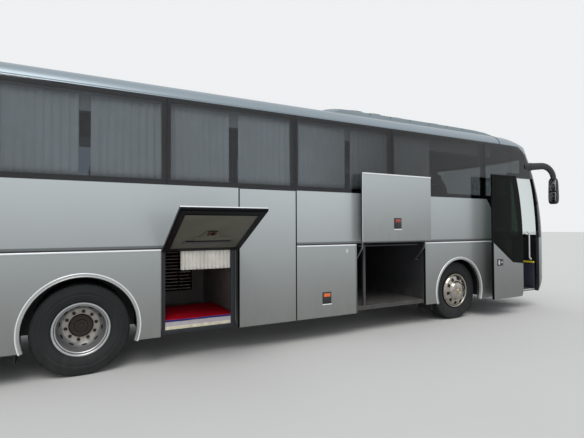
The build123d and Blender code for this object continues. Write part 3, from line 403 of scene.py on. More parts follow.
def paint_wall(made, outer, inner, along, off, up):
    """Paints shade into the fold and keeps the paint to the wall's skin; returns the new mask and inner
    colour.
    """
    tree = made.tree
    # Painted shade: the fold under the glass is blended towards near black.
    fold = do_math(tree, "SUBTRACT", 1.0, spread(tree, up, *fold_z))
    fold = do_math(tree, "MULTIPLY", fold, do_math(tree, "GREATER_THAN", up, lip_z + 0.001))
    made.set_colour(blend_colour(tree, do_math(tree, "MULTIPLY", fold, fold_shade), made.colour, near_black))
    off = do_math(tree, "ABSOLUTE", do_math(tree, "SUBTRACT", off, centre_y))
    skin = do_math(tree, "GREATER_THAN", off, half_width - paint_depth)
    skin = do_math(tree, "MAXIMUM", skin, do_math(tree, "LESS_THAN", along, rear_corner_x))
    skin = do_math(tree, "MULTIPLY", skin, do_math(tree, "LESS_THAN", up, paint_top_z))
    lined = do_math(tree, "LESS_THAN", off, half_width - wall_thick + 0.004)
    return do_math(tree, "MULTIPLY", outer, skin), blend_colour(tree, lined, near_black, inner)


def paint_hatch(made, outer, out):
    """Keeps the paint to the hatch's skin and paints a highlight on its edge faces; returns the new mask."""
    tree = made.tree
    facing = add_node(
        tree, "VectorMath", {"operation": "DOT_PRODUCT"},
        i0=tree.nodes.new("ShaderNodeTexCoord").outputs["Normal"],
        i1=(0, -math.cos(hatch_angle), math.sin(hatch_angle)),
    )
    # Painted highlight on the edge faces of the hatch.
    edge = do_math(tree, "LESS_THAN", facing.outputs["Value"], 0.5)
    made.set_colour(blend_colour(tree, edge, made.colour, edge_highlight))
    return do_math(tree, "MULTIPLY", outer, do_math(tree, "GREATER_THAN", out, -hatch_out - hatch_skin))


def below_pane(tree, along, up):
    """1 on the front door's leaf below its pane."""
    steep, flat = (do_math(tree, "ADD", do_math(tree, "MULTIPLY", along, slope), height)
                   for slope, height in pane_lines)
    return do_math(tree, "LESS_THAN", up, do_math(tree, "MAXIMUM", steep, flat))


def paint(name, colour, inside, weights, inner, low=0.30, height=0.9, amount=0.35, kind="panel", raised=0.0,
          gloss=0.35, coat=0.22):
    """Metallic paint on the outer side of a shell, and another colour inside.

    The outer side looks away from the point inside, by the weights of the three axes. Dirt starts at low and
    thins out over height. Silver takes painted shade: darker towards the ground, and darker towards the front
    as a painted reflection. A wall has painted shade in its fold and is lined behind, a leaf is dark round
    its pane, and a hatch is painted on its skin alone, in the painted shade of its closed height. What stands
    raised has its painted shade taken that much lower.
    """
    made = Finish(name, colour, 0.32, metallic=flake_shine, coat_weight=coat, coat_roughness=0.06,
                  specular_ior_level=gloss)
    tree = made.tree
    along, off, up = add_node(tree, "SeparateXYZ", Vector=place(tree)).outputs
    level = do_math(tree, "SUBTRACT", up, raised)
    # A hatch takes its painted shade from the height it has when closed.
    if kind == "hatch":
        level, out = closed_hatch_place(tree, off, up)
    # Painted shade: silver grows darker towards the ground, and darker towards the front as a painted
    # reflection.
    if colour == silver:
        rise = do_math(tree, "POWER", spread(tree, level, *shaded_z), 1.35)
        made.set_colour(blend_colour(tree, rise, shaded_silver, silver))
        ahead = spread(tree, along, *shaded_x, 1.0, front_shade_share)
        made.set_colour(blend_colour(tree, 1.0, made.colour, ahead, "MULTIPLY"))
    flake = add_node(tree, "TexNoise", Vector=place(tree), Scale=1400.0, Detail=1.0)
    glitter = spread(tree, flake.outputs[0], 0.2, 0.8, 0.93, 1.07)
    made.set_colour(blend_colour(tree, 1.0, made.colour, glitter, "MULTIPLY"))
    made.drift(0.6, 0.06).dirt(low, height, amount)
    outer = made.group("outside", Inside=inside, Weights=weights)["Mask"]
    if kind == "wall":
        outer, inner = paint_wall(made, outer, inner, along, off, up)
    elif kind == "hatch":
        outer = paint_hatch(made, outer, out)
    elif kind == "leaf":
        outer, inner = do_math(tree, "MULTIPLY", outer, below_pane(tree, along, up)), near_black
    made.set_colour(blend_colour(tree, outer, inner, made.colour))
    tree.links.new(do_math(tree, "MULTIPLY", outer, flake_shine), made.shader.inputs["Metallic"])
    tree.links.new(do_math(tree, "MULTIPLY", outer, coat), made.shader.inputs["Coat Weight"])
    return made.bump(flake.outputs[0], 0.04, 0.0003)


def glass(name, colour, shade, front=None, gloss=0.5, ior=1.45):
    """Tinted solid glass that shadows and scattered light pass straight through; front is its darker colour
    ahead, painted shade.
    """
    made = Finish(name, colour, 0.01, transmission_weight=1.0, ior=ior, specular_ior_level=gloss)
    tree = made.tree
    # Painted shade: the glass darkens towards the front.
    if front:
        split = add_node(tree, "SeparateXYZ", Vector=place(tree))
        share = spread(tree, split.outputs[0], *front_glass_shade_x)
        made.set_colour(blend_colour(tree, share, colour, front))
    path = tree.nodes.new("ShaderNodeLightPath")
    clear = add_node(tree, "BsdfTransparent", Color=shade)
    straight = do_math(tree, "MAXIMUM", path.outputs["Is Shadow Ray"], path.outputs["Is Diffuse Ray"])
    mix = add_node(tree, "MixShader", i0=straight, i1=made.shader.outputs[0], i2=clear.outputs[0])
    tree.links.new(mix.outputs[0], tree.nodes["Material Output"].inputs["Surface"])
    return made


inside_middle = (0, centre_y, 1.8)
across = (0, 1, 0)
section = (0, 1, 1)
whole = (1, 1, 1)
lining = tone(0.33, 0.33, 0.31)
flap_inside = tone(0.045, 0.047, 0.05)
lifted_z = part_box("flap_3_right")[0].z

finishes = {made.material.name: made.material for made in (
    paint("silver wall", silver, inside_middle, across, lining, skirt_z, 1.0, 0.32, "wall",
          gloss=0.15, coat=0.10),
    paint("silver panel", silver, inside_middle, across, flap_inside, skirt_z, 0.9, 0.30,
          gloss=0.15, coat=0.10),
    paint("silver door leaf", silver, inside_middle, across, flap_inside, skirt_z, 0.9, 0.30, "leaf",
          gloss=0.06, coat=0.06),
    # The lifted flap takes the painted shade of a place 0.55 m lower.
    paint("silver lifted flap", silver, inside_middle, across, flap_inside, lifted_z, 0.9, 0.22,
          raised=0.55, gloss=0.15, coat=0.10),
    paint("silver hatch", silver, (0, centre_y - 2.0, 0.0), section, near_black, 0.3, 0.5, 0.1, "hatch",
          gloss=0.06),
    paint("silver nose", silver, (4.5, centre_y, 1.3), whole, flap_inside, skirt_z, 0.8, 0.35),
    paint("silver tail", silver, (-4.5, centre_y, 1.3), whole, flap_inside, skirt_z, 1.2, 0.5),
    paint("pale roof", pale_grey, inside_middle, section, lining, 3.0, 0.6, 0.25,
          gloss=0.15, coat=0.06),
    paint("pale front cap", pale_grey, (3.8, centre_y, 1.8), whole, lining, 3.0, 0.6, 0.2,
          gloss=0.15, coat=0.06),
    Finish("roof unit", tone(0.295, 0.350, 0.375), 0.6, specular_ior_level=0.15).drift(1.5, 0.12)
    .grain(220, 0.12),
    glass("dark side glass", tone(0.255, 0.285, 0.32), tone(0.84, 0.86, 0.87),
          front=tone(0.085, 0.095, 0.10)),
    # The door glass's dark green is partly its tint and partly a painted reflection of trees.
    glass("door glass", tone(0.012, 0.030, 0.018), tone(0.4, 0.46, 0.42), gloss=0.08,
          ior=1.16),
    glass("windscreen glass", tone(0.78, 0.84, 0.82), tone(0.92, 0.95, 0.94)),
    Finish("black gloss frame", tone(0.015, 0.015, 0.017), 0.18, coat_weight=0.4).drift(3, 0.2),
    Finish("black plastic", tone(0.022, 0.022, 0.024), 0.42).drift(6, 0.3).grain(450, 0.25),
    Finish("grey plastic", tone(0.07, 0.07, 0.075), 0.5).drift(6, 0.3).grain(450, 0.25),
    Finish("black rubber", tone(0.018, 0.018, 0.019), 0.6).drift(9, 0.4).grain(320, 0.3),
    Finish("matt rubber", tone(0.004, 0.005, 0.006), 0.8, specular_ior_level=0.08)
    .drift(9, 0.4).grain(320, 0.3),
    Finish("tyre rubber", tone(0.010, 0.012, 0.013), 0.66, specular_ior_level=0.35).drift(7, 0.35)
    .dirt(0.0, 1.4, 0.22, tone(0.10, 0.095, 0.09)).grain(260, 0.45, 0.6),
    Finish("grey wheel steel", tone(0.30, 0.305, 0.31), 0.38, metallic=0.5)
    .drift(8, 0.35).dirt(0.1, 1.3, 0.35, tone(0.10, 0.075, 0.06)).grain(180, 0.12),
    Finish("pale wheel disc", tone(0.56, 0.53, 0.48), 0.42, metallic=0.25)
    .drift(9, 0.45).dirt(0.3, 0.8, 0.3, tone(0.22, 0.15, 0.10)).grain(180, 0.15),
    Finish("polished steel", tone(0.46, 0.43, 0.39), 0.16, metallic=1.0).drift(12, 0.6)
    .grain(140, 0.08),
    Finish("brass hub", tone(0.55, 0.42, 0.16), 0.3, metallic=1.0).drift(20, 0.3).grain(200, 0.1),
    Finish("dark hub iron", tone(0.042, 0.032, 0.027), 0.5, metallic=0.4).drift(22, 0.6)
    .grain(150, 0.5, 0.8),
    Finish("black axle iron", tone(0.022, 0.022, 0.023), 0.6, metallic=0.3).drift(6, 0.4)
    .dirt(0.0, 1.0, 0.6).grain(120, 0.5, 0.8),
    Finish("engine iron", tone(0.11, 0.11, 0.11), 0.55, metallic=0.5).drift(5, 0.4)
    .dirt(0.3, 0.8, 0.5).grain(110, 0.5, 0.8),
    Finish("dark painted steel", tone(0.06, 0.062, 0.066), 0.45, metallic=0.3).drift(5, 0.35)
    .dirt(0.3, 1.2, 0.5).grain(200, 0.2),
    Finish("hold lining", tone(0.045, 0.046, 0.05), 0.62).drift(4, 0.4)
    .dirt(0.36, 0.4, 0.75, tone(0.19, 0.17, 0.14)).grain(170, 0.35),
    Finish("bare arm steel", tone(0.30, 0.30, 0.31), 0.35, metallic=0.8).drift(9, 0.3)
    .brush(160, 0.2),
    Finish("dark blue floor covering", tone(0.022, 0.028, 0.055), 0.55).drift(5, 0.3)
    .dirt(0.3, 1.6, 0.3).grain(500, 0.3),
    Finish("cabin lining", tone(0.17, 0.16, 0.15), 0.6).drift(4, 0.45).grain(240, 0.25),
    Finish("light rack plastic", tone(0.42, 0.42, 0.40), 0.5).drift(3, 0.2).grain(350, 0.2),
    Finish("clear lamp cover", tone(0.05, 0.052, 0.055), 0.05, coat_weight=1.0,
           specular_ior_level=0.8).drift(18, 0.3),
    Finish("amber lens", tone(0.85, 0.16, 0.015), 0.14, coat_weight=0.6).drift(30, 0.3)
    .grain(160, 0.4),
    Finish("red amber lens", tone(0.34, 0.035, 0.012), 0.14, coat_weight=0.6).drift(30, 0.3)
    .grain(160, 0.3),
    Finish("red lens", tone(0.42, 0.012, 0.012), 0.12, coat_weight=0.7).drift(30, 0.3)
    .grain(160, 0.35),
    Finish("grey window curtain", tone(0.74, 0.735, 0.70), 0.85, sheen_weight=0.3)
    .drift(4, 0.2).weave(420, 0.4),
    Finish("cream cabin curtain", tone(0.96, 0.93, 0.86), 0.85, sheen_weight=0.2)
    .drift(9, 0.15).weave(900, 0.15),
    Finish("red mat", tone(0.50, 0.003, 0.016), 0.9, specular_ior_level=0.1).drift(6, 0.35)
    .weave(300, 0.6),
    Finish("blue mat edge", tone(0.035, 0.035, 0.17), 0.8, specular_ior_level=0.1)
    .drift(12, 0.25).weave(420, 0.5),
    Finish("lilac bedding", tone(0.50, 0.46, 0.50), 0.9).drift(14, 0.3).weave(420, 0.4),
    Finish("pale foam", tone(0.78, 0.72, 0.56), 0.9).drift(14, 0.5).grain(130, 0.8, 0.8),
    Finish("seat cloth", tone(0.035, 0.04, 0.075), 0.85, sheen_weight=0.3).drift(9, 0.2)
    .weave(240, 0.5, tone(0.06, 0.065, 0.10)),
    # Near white: bright trim, and a painted highlight on the panels' lips and the arches' beads.
    Finish("bright lip paint", tone(0.90, 0.92, 0.93), 0.28, metallic=0.15, coat_weight=0.4)
    .drift(4, 0.10).dirt(0.3, 1.2, 0.15),
    Finish("silver arch flange", tone(0.40, 0.415, 0.41), 0.34, metallic=0.4, coat_weight=0.3)
    .drift(4, 0.12).dirt(0.3, 1.2, 0.3),
    Finish("white enamel", tone(0.72, 0.72, 0.70), 0.3, coat_weight=0.3).drift(9, 0.15),
    Finish("yellow step edge", tone(0.72, 0.58, 0.03), 0.5).drift(15, 0.3).grain(260, 0.4),
    Finish("rolled aluminium", tone(0.52, 0.53, 0.54), 0.33, metallic=0.9).drift(8, 0.25)
    .brush(220, 0.3),
    Finish("chrome", tone(0.80, 0.81, 0.82), 0.06, metallic=1.0).drift(20, 0.08),
    Finish("mirror glass", tone(0.75, 0.77, 0.78), 0.02, metallic=1.0).drift(2, 0.04),
    Finish("olive hatch board", tone(0.105, 0.105, 0.080), 0.65).drift(4, 0.35)
    .grain(260, 0.25),
    Finish("dark cabin frame", tone(0.013, 0.019, 0.025), 0.5).drift(8, 0.3).grain(320, 0.2),
    Finish("worn slat edges", tone(0.58, 0.49, 0.43), 0.55).drift(30, 0.5).grain(200, 0.3),
    Finish("dark red latch", tone(0.040, 0.006, 0.005), 0.4).drift(40, 0.5),
    Finish("screw steel", tone(0.16, 0.16, 0.16), 0.4, metallic=0.8).drift(40, 0.3),
)}


node_finishes = {
    "silver wall": ["side_wall_right", "side_wall_left", "side_skirts_right", "side_skirts_left"],
    "silver panel": ["flap_2_right", "flap_2_left", "flap_3_left", "middle_door_leaf"],
    "silver door leaf": ["front_door_leaf"],
    "silver lifted flap": ["flap_3_right"],
    "silver hatch": ["cabin_flap"],
    "silver nose": ["front_mask"],
    "silver tail": ["rear_wall", "engine_flap"],
    "pale roof": ["roof_panel"],
    "pale front cap": ["roof_front_cap"],
    "roof unit": ["air_unit"],
    "dark side glass": ["side_glass", "rear_window"],
    "door glass": ["front_door_glass"],
    "windscreen glass": ["windscreen"],
    "black gloss frame": ["front_frame"],
    "black plastic": ["mirrors", "wipers", "dashboard", "wheel_houses", "front_grille"],
    "black rubber": ["mud_flaps"],
    "tyre rubber": ["front_tyre_right", "front_tyre_left", "rear_tyres_right", "rear_tyres_left"],
    "grey wheel steel": ["front_rim_right", "front_rim_left", "rear_rims_right", "rear_rims_left"],
    "black axle iron": ["front_axle", "rear_axle", "knuckle_right", "knuckle_left", "chassis_rails"],
    "engine iron": ["engine_block"],
    "hold lining": ["luggage_hold"],
    "bare arm steel": ["flap_2_right_arms", "flap_2_left_arms", "flap_3_right_arms", "flap_3_left_arms",
                  "front_door_arm", "middle_door_arm"],
    "dark blue floor covering": ["stairs", "floor_deck"],
    "cabin lining": ["sleeping_cabin"],
    "light rack plastic": ["luggage_racks"],
    "clear lamp cover": ["headlamps"],
    "red lens": ["tail_lamps"],
    "amber lens": ["marker_lamps"],
    "grey window curtain": ["curtains"],
    "pale foam": ["cabin_mattress"],
    "seat cloth": ["seats"],
}


def dress_nodes():
    for key, names in node_finishes.items():
        for name in names:
            slots = nodes[name].data.materials
            slots.clear()
            slots.append(finishes[key])


# Ways of making shapes

def tint(verts, index):
    """Gives the faces round some vertices one of their piece's finishes."""
    for face in {face for vert in verts for face in vert.link_faces}:
        face.material_index = index


def slab(form, corner, other, index=0):
    """A block between two opposite corners, in one of its piece's finishes."""
    low, high = Vector(map(min, corner, other)), Vector(map(max, corner, other))
    made = bmesh.ops.create_cube(form, size=1)["verts"]
    bmesh.ops.scale(form, vec=high - low, verts=made)
    bmesh.ops.translate(form, vec=(low + high) / 2, verts=made)
    tint(made, index)
    return made


def bar(form, start, end, radius, sides=16, tip=None, index=0):
    """A round bar or a taper from start to end."""
    start, end = Vector(start), Vector(end)
    run = end - start
    made = bmesh.ops.create_cone(
        form, cap_ends=True, segments=sides, radius1=radius, radius2=radius if tip is None else tip,
        depth=run.length,
    )["verts"]
    turn = run.to_track_quat("Z", "Y").to_matrix().to_4x4()
    bmesh.ops.transform(form, matrix=Matrix.Translation((start + end) / 2) @ turn, verts=made)
    tint(made, index)


def rod(form, points, radius, sides):
    """Bars from point to point, apart from steps too short to show."""
    for start, end in zip(points, points[1:]):
        if (Vector(end) - Vector(start)).length > 0.004:
            bar(form, start, end, radius, sides)


def loft(form, sections):
    """A closed skin through sections, which are rings of points in one order."""
    ring = [form.verts.new(point) for point in sections[0]]
    edges = [form.edges.new(pair) for pair in zip(ring, ring[1:] + ring[:1])]
    bmesh.ops.contextual_create(form, geom=edges)
    for section in sections[1:]:
        fresh = set(bmesh.ops.extrude_edge_only(form, edges=edges)["geom"])
        ring = [next(e.other_vert(v) for e in v.link_edges if e.other_vert(v) in fresh) for v in ring]
        for vert, point in zip(ring, section):
            vert.co = point
        edges = [form.edges.get(pair) for pair in zip(ring, ring[1:] + ring[:1])]
    bmesh.ops.contextual_create(form, geom=edges)
    bmesh.ops.recalc_face_normals(form, faces=form.faces)


def lathe(form, outline, steps, angle=2 * math.pi, start=0.0):
    """Points of (radius, along) turned about the Y axis; returns the new vertices."""
    before = set(form.verts)
    verts = [form.verts.new((r * math.cos(start), along, r * math.sin(start))) for r, along in outline]
    edges = [form.edges.new(pair) for pair in zip(verts, verts[1:])]
    full = abs(angle - 2 * math.pi) < 0.001
    bmesh.ops.spin(
        form, geom=verts + edges, cent=(0, 0, 0), axis=(0, -1, 0), dvec=(0, 0, 0), angle=angle,
        steps=steps, use_merge=full, use_duplicate=False,
    )
    fresh = [v for v in form.verts if v not in before]
    bmesh.ops.remove_doubles(form, verts=fresh, dist=0.00002)
    return [v for v in form.verts if v not in before]


def add_form(form, part, matrix=None):
    """Moves a finished part into a larger form, placed by a matrix."""
    if matrix is not None:
        bmesh.ops.transform(part, matrix=matrix, verts=part.verts)
    loose = bpy.data.meshes.new("loose")
    part.to_mesh(loose)
    part.free()
    form.from_mesh(loose)
    bpy.data.meshes.remove(loose)


def soften(form, width, segments=2, edges=None):
    """Rounds edges: all of them unless some are given."""
    bmesh.ops.bevel(
        form, geom=edges or form.edges[:], offset=width, offset_type="OFFSET", segments=segments,
        profile=0.5, affect="EDGES", clamp_overlap=True, material=-1,
    )


def both_sides(form):
    """Adds the mirror image across the coach's centre plane."""
    bmesh.ops.mirror(
        form, geom=form.verts[:] + form.edges[:] + form.faces[:], matrix=Matrix.Identity(4),
        merge_dist=0.00001, axis="Y",
    )
    bmesh.ops.recalc_face_normals(form, faces=form.faces)


def paint_faces(form, index, test):
    """Gives the faces whose middle passes a test one of their piece's finishes."""
    for face in form.faces:
        if test(face.calc_center_median()):
            face.material_index = index


def piece(name, form, keys, body="root", crease=35):
    """Turns a finished form into a piece that rides on a body."""
    bmesh.ops.translate(form, vec=(0, centre_y, 0), verts=form.verts)
    form.normal_update()
    limit = math.radians(crease)
    for edge in form.edges:
        edge.smooth = edge.calc_face_angle(0) <= limit
    for face in form.faces:
        face.smooth = True
    mesh = bpy.data.meshes.new(name)
    form.to_mesh(mesh)
    form.free()
    for key in [keys] if isinstance(keys, str) else keys:
        mesh.materials.append(finishes[key])
    made = bpy.data.objects.new(name, mesh)
    bpy.context.scene.collection.objects.link(made)
    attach(made, body)
    return made


def block_piece(name, blocks, keys, body="root", rounding=None):
    """A piece of plain blocks, each as slab takes it."""
    form = bmesh.new()
    for block in blocks:
        slab(form, *block)
    if rounding:
        soften(form, *rounding)
    return piece(name, form, keys, body)


# Side trim

bead_radius = 0.012
bead_in = 0.003
bead_drop = 0.011


def make_lips():
    """Rounded lips along the top of the lower panels, near white as a painted highlight, and the dark groove
    above them.
    """
    groove_deep, groove_out, groove_down, groove_up = 0.014, 0.0012, 0.004, 0.016
    form = bmesh.new()
    groove = bmesh.new()
    for x_low, x_high, side in (
        (wall_rear_x, cabin_wall_x, -1), (front_skirt_x, door_rear_x, -1),
        (wall_rear_x, left_skirt_x, 1), (front_skirt_x, wall_front_x, 1),
    ):
        y, z = side * (half_width - bead_in), lip_z - bead_drop
        # The lip's near-white colour is a painted highlight.
        bar(form, (x_low, y, z), (x_high, y, z), bead_radius, 12)
        slab(groove, (x_low, side * (half_width - groove_deep), lip_z - groove_down),
             (x_high, side * (half_width + groove_out), lip_z + groove_up))
    piece("skirt_lips", form, "bright lip paint")
    piece("wall_groove", groove, "black rubber")
    for label in flap_labels:
        low, high, side, outer = flap_place(label)
        y, z = outer - side * bead_in, high.z - bead_drop
        form = bmesh.new()
        bar(form, (low.x, y, z), (high.x, y, z), bead_radius, 12)
        # A thin painted highlight up the lifted flap's edge.
        if label == "3_right":
            x, y = low.x + 0.003, outer - side * 0.001
            bar(form, (x, y, low.z + 0.002), (x, y, z), 0.0035, 8)
        piece("flap_lip_" + label, form, "bright lip paint", "flap_" + label)


def make_arch_lips():
    """Folded lips round the wheel arches: a bead outside a narrow flange, near white as a painted highlight.
    """
    # Faces of the bead take the near-white painted highlight.
    bright = 1
    lip_section = [
        (-0.003, 0.030), (-0.003, -0.002), (0.001, -0.007), (0.006, -0.006), (0.010, -0.002),
        (0.028, -0.002), (0.031, -0.008), (0.036, -0.0105), (0.041, -0.008), (0.044, 0.001),
    ]
    bead_start = 0.029
    form = bmesh.new()
    for name, axle_x in (("front", front_axle_x), ("rear", rear_axle_x)):
        radius = arch_radius[name]
        drop = math.asin((arch_z - skirt_z) / radius)
        outline = [(radius + out, along) for out, along in lip_section]
        made = lathe(form, outline, 56, math.pi + 2 * drop, -drop)
        bmesh.ops.translate(form, vec=(axle_x, -half_width, arch_z), verts=made)
        for face in {f for v in made for f in v.link_faces}:
            spot = face.calc_center_median()
            if math.hypot(spot.x - axle_x, spot.z - arch_z) > radius + bead_start:
                face.material_index = bright
    both_sides(form)
    piece("arch_lips", form, ["silver arch flange", "bright lip paint"], crease=50)


def make_roof_step():
    """Fine step lines along the roof's coves, and the dark seam where the front cap begins."""
    rear_x, front_x = -5.25, 4.37
    form = bmesh.new()
    for z, y, radius in ((3.294, 1.2590, 0.006), (3.392, 1.1860, 0.004)):
        bar(form, (rear_x, -y, z), (front_x, -y, z), radius, 10)
    both_sides(form)
    piece("roof_step_lines", form, "pale roof")
    seam_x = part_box("roof_front_cap")[0].x
    seam_foot_z, hub_z = 3.27, 2.2
    outermost = {}
    for vert in nodes["roof_front_cap"].data.vertices:
        y, z = vert.co.y - centre_y, vert.co.z
        if abs(vert.co.x - seam_x) < 0.004 and z > seam_foot_z:
            turn = round(math.degrees(math.atan2(z - hub_z, y)))
            reach = math.hypot(y, z - hub_z)
            if turn not in outermost or reach > outermost[turn][0]:
                outermost[turn] = (reach, (seam_x + 0.001, y, z))
    form = bmesh.new()
    rod(form, [outermost[turn][1] for turn in sorted(outermost)], 0.007, 8)
    piece("cap_seam", form, "black rubber")


# Wheels

tyre_half = (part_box("front_tyre_left")[1].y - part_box("front_tyre_left")[0].y) / 2
rim_radius = 0.298
tread_grooves = (0.084, 0.030)
tyre_steps = 120
rear_rim_y = middle("rear_rims_left").y - centre_y
disc_out = 0.0345
nut_count = 10
nut_turn = 0.16


def tyre_outline():
    """Half section, from the bead over the sidewall to the middle of the tread, as (radius, out)."""
    top = tyre_radius - 0.0003
    wall = [
        (rim_radius - 0.002, tyre_half - 0.048), (rim_radius + 0.008, tyre_half - 0.034),
        (rim_radius + 0.020, tyre_half - 0.024), (rim_radius + 0.024, tyre_half - 0.017),
        (rim_radius + 0.036, tyre_half - 0.012), (rim_radius + 0.060, tyre_half - 0.004),
        (rim_radius + 0.088, tyre_half - 0.0004), (rim_radius + 0.093, tyre_half - 0.003),
        (rim_radius + 0.120, tyre_half - 0.002), (rim_radius + 0.124, tyre_half - 0.0004),
        (rim_radius + 0.150, tyre_half - 0.004), (rim_radius + 0.154, tyre_half - 0.007),
        (top - 0.040, tyre_half - 0.010), (top - 0.020, tyre_half - 0.016), (top - 0.006, tyre_half - 0.022),
        (top - 0.001, tyre_half - 0.032),
    ]
    tread = []
    for place_out in tread_grooves:
        tread += [
            (top, place_out + 0.0075), (top - 0.013, place_out + 0.0045),
            (top - 0.013, place_out - 0.0045), (top, place_out - 0.0075),
        ]
    return wall + tread


def make_tyre(side):
    """One tyre about its own middle, with every other step of its shoulders pressed in."""
    shoulder_low, shoulder_high = tyre_radius - 0.018, tyre_radius - 0.002
    shoulder_wide, lug_depth = 0.030, 0.005
    half = tyre_outline()
    outline = half + [(r, -out) for r, out in reversed(half)]
    form = bmesh.new()
    lathe(form, [(r, side * out) for r, out in outline], tyre_steps)
    bmesh.ops.recalc_face_normals(form, faces=form.faces)
    lugs = []
    for face in form.faces:
        spot = face.calc_center_median()
        radius = math.hypot(spot.x, spot.z)
        step = round(math.atan2(spot.z, spot.x) * tyre_steps / (2 * math.pi) - 0.5)
        at_shoulder = shoulder_low < radius < shoulder_high and abs(spot.y) > tyre_half - shoulder_wide
        if at_shoulder and step % 2:
            lugs.append(face)
    bmesh.ops.inset_region(form, faces=lugs, thickness=0.0, depth=-lug_depth, use_even_offset=True)
    return form


def make_tyres():
    """Detailed tyres in place of the plain ones."""
    for name, side in hands:
        form = make_tyre(side)
        bmesh.ops.translate(form, vec=(front_axle_x, side * front_tyre_y, tyre_radius), verts=form.verts)
        made = piece("steer_tyre_" + name, form, "tyre rubber", "front_wheel_" + name, 28)
        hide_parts("front_tyre_" + name)
        near, far = sorted(abs(corner.y) for corner in space("rear_tyres_" + name))
        form = bmesh.new()
        for y in (far - tyre_half, near + tyre_half):
            add_form(form, make_tyre(side), Matrix.Translation((rear_axle_x, side * y, tyre_radius)))
        made = piece("drive_tyres_" + name, form, "tyre rubber", "rear_wheels_" + name, 28)
        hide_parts("rear_tyres_" + name)


def spots_round(count, radius, phase=0.0):
    """Places (x, z) evenly round an axle."""
    for index in range(count):
        turn = 2 * math.pi * index / count + phase
        yield radius * math.cos(turn), radius * math.sin(turn)


def make_wheel_nuts(name, side):
    """A ring of wheel nuts with their washers and studs on the disc, and small bolts on the hub."""
    form = bmesh.new()
    size, nut_radius, bolt_radius = 0.0155, 0.163, 0.109
    face, back, top, stud = (side * (rear_rim_y + disc_out + out) for out in (0, 0.004, 0.024, 0.036))
    for x, z in spots_round(nut_count, nut_radius, nut_turn):
        bar(form, (x, face, z), (x, back, z), size * 1.25, 18)
        bar(form, (x, back, z), (x, top, z), size, 6, size * 0.93)
        bar(form, (x, top, z), (x, stud, z), size * 0.45, 10)
    for x, z in spots_round(nut_count, bolt_radius, math.pi / nut_count):
        bar(form, (x, side * (rear_rim_y + 0.052), z), (x, side * (rear_rim_y + 0.068), z), 0.009, 6)
    bmesh.ops.translate(form, vec=(rear_axle_x, 0, tyre_radius), verts=form.verts)
    piece("wheel_nuts_" + name, form, "dark hub iron", "rear_wheels_" + name)


def make_front_covers():
    """Polished domed wheel covers with hand holes and a brass-coloured middle."""
    brass, dark = 1, 2
    brass_radius, hole_radii = 0.034, (0.186, 0.246)
    hole_pitch, hole_span = 36, 16
    outline = [
        (rim_radius - 0.002, -0.080), (rim_radius - 0.002, 0.098), (rim_radius + 0.004, 0.113),
        (rim_radius + 0.004, 0.134), (rim_radius, 0.141), (0.290, 0.141), (0.283, 0.134), (0.278, 0.127),
        (0.272, 0.134), (0.262, 0.147), (0.246, 0.158), (0.226, 0.165), (0.186, 0.172), (0.176, 0.174),
        (0.170, 0.170), (0.165, 0.176), (0.156, 0.198), (0.142, 0.212), (0.118, 0.219), (0.080, 0.222),
        (0.046, 0.223), (0.043, 0.219), (0.036, 0.219), (0.033, 0.224), (0.018, 0.2275), (0.0, 0.228),
    ]
    for name, side in hands:
        form = bmesh.new()
        lathe(form, [(r, side * out) for r, out in outline], 60)
        bmesh.ops.recalc_face_normals(form, faces=form.faces)
        if sum(f.normal.y * side for f in form.faces if abs(f.calc_center_median().x) < 0.1) < 0:
            bmesh.ops.reverse_faces(form, faces=form.faces)
        holes = []
        for face in form.faces:
            spot = face.calc_center_median()
            radius, turn = math.hypot(spot.x, spot.z), math.degrees(math.atan2(spot.z, spot.x)) % hole_pitch
            if hole_radii[0] < radius < hole_radii[1] and turn < hole_span and spot.y * side > 0.06:
                holes.append(face)
        bmesh.ops.inset_region(form, faces=holes, thickness=0.004, depth=0.002, use_even_offset=True)
        inner = bmesh.ops.inset_region(form, faces=holes, thickness=0.002, depth=-0.020, use_even_offset=True)
        for face in holes + inner["faces"]:
            face.material_index = dark
        paint_faces(form, brass, lambda spot: math.hypot(spot.x, spot.z) < brass_radius)
        bmesh.ops.translate(form, vec=(front_axle_x, side * front_tyre_y, tyre_radius), verts=form.verts)
        made = piece("wheel_cover_" + name, form, ["polished steel", "brass hub", "black plastic"],
                     "front_wheel_" + name, 50)
        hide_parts("front_rim_" + name)


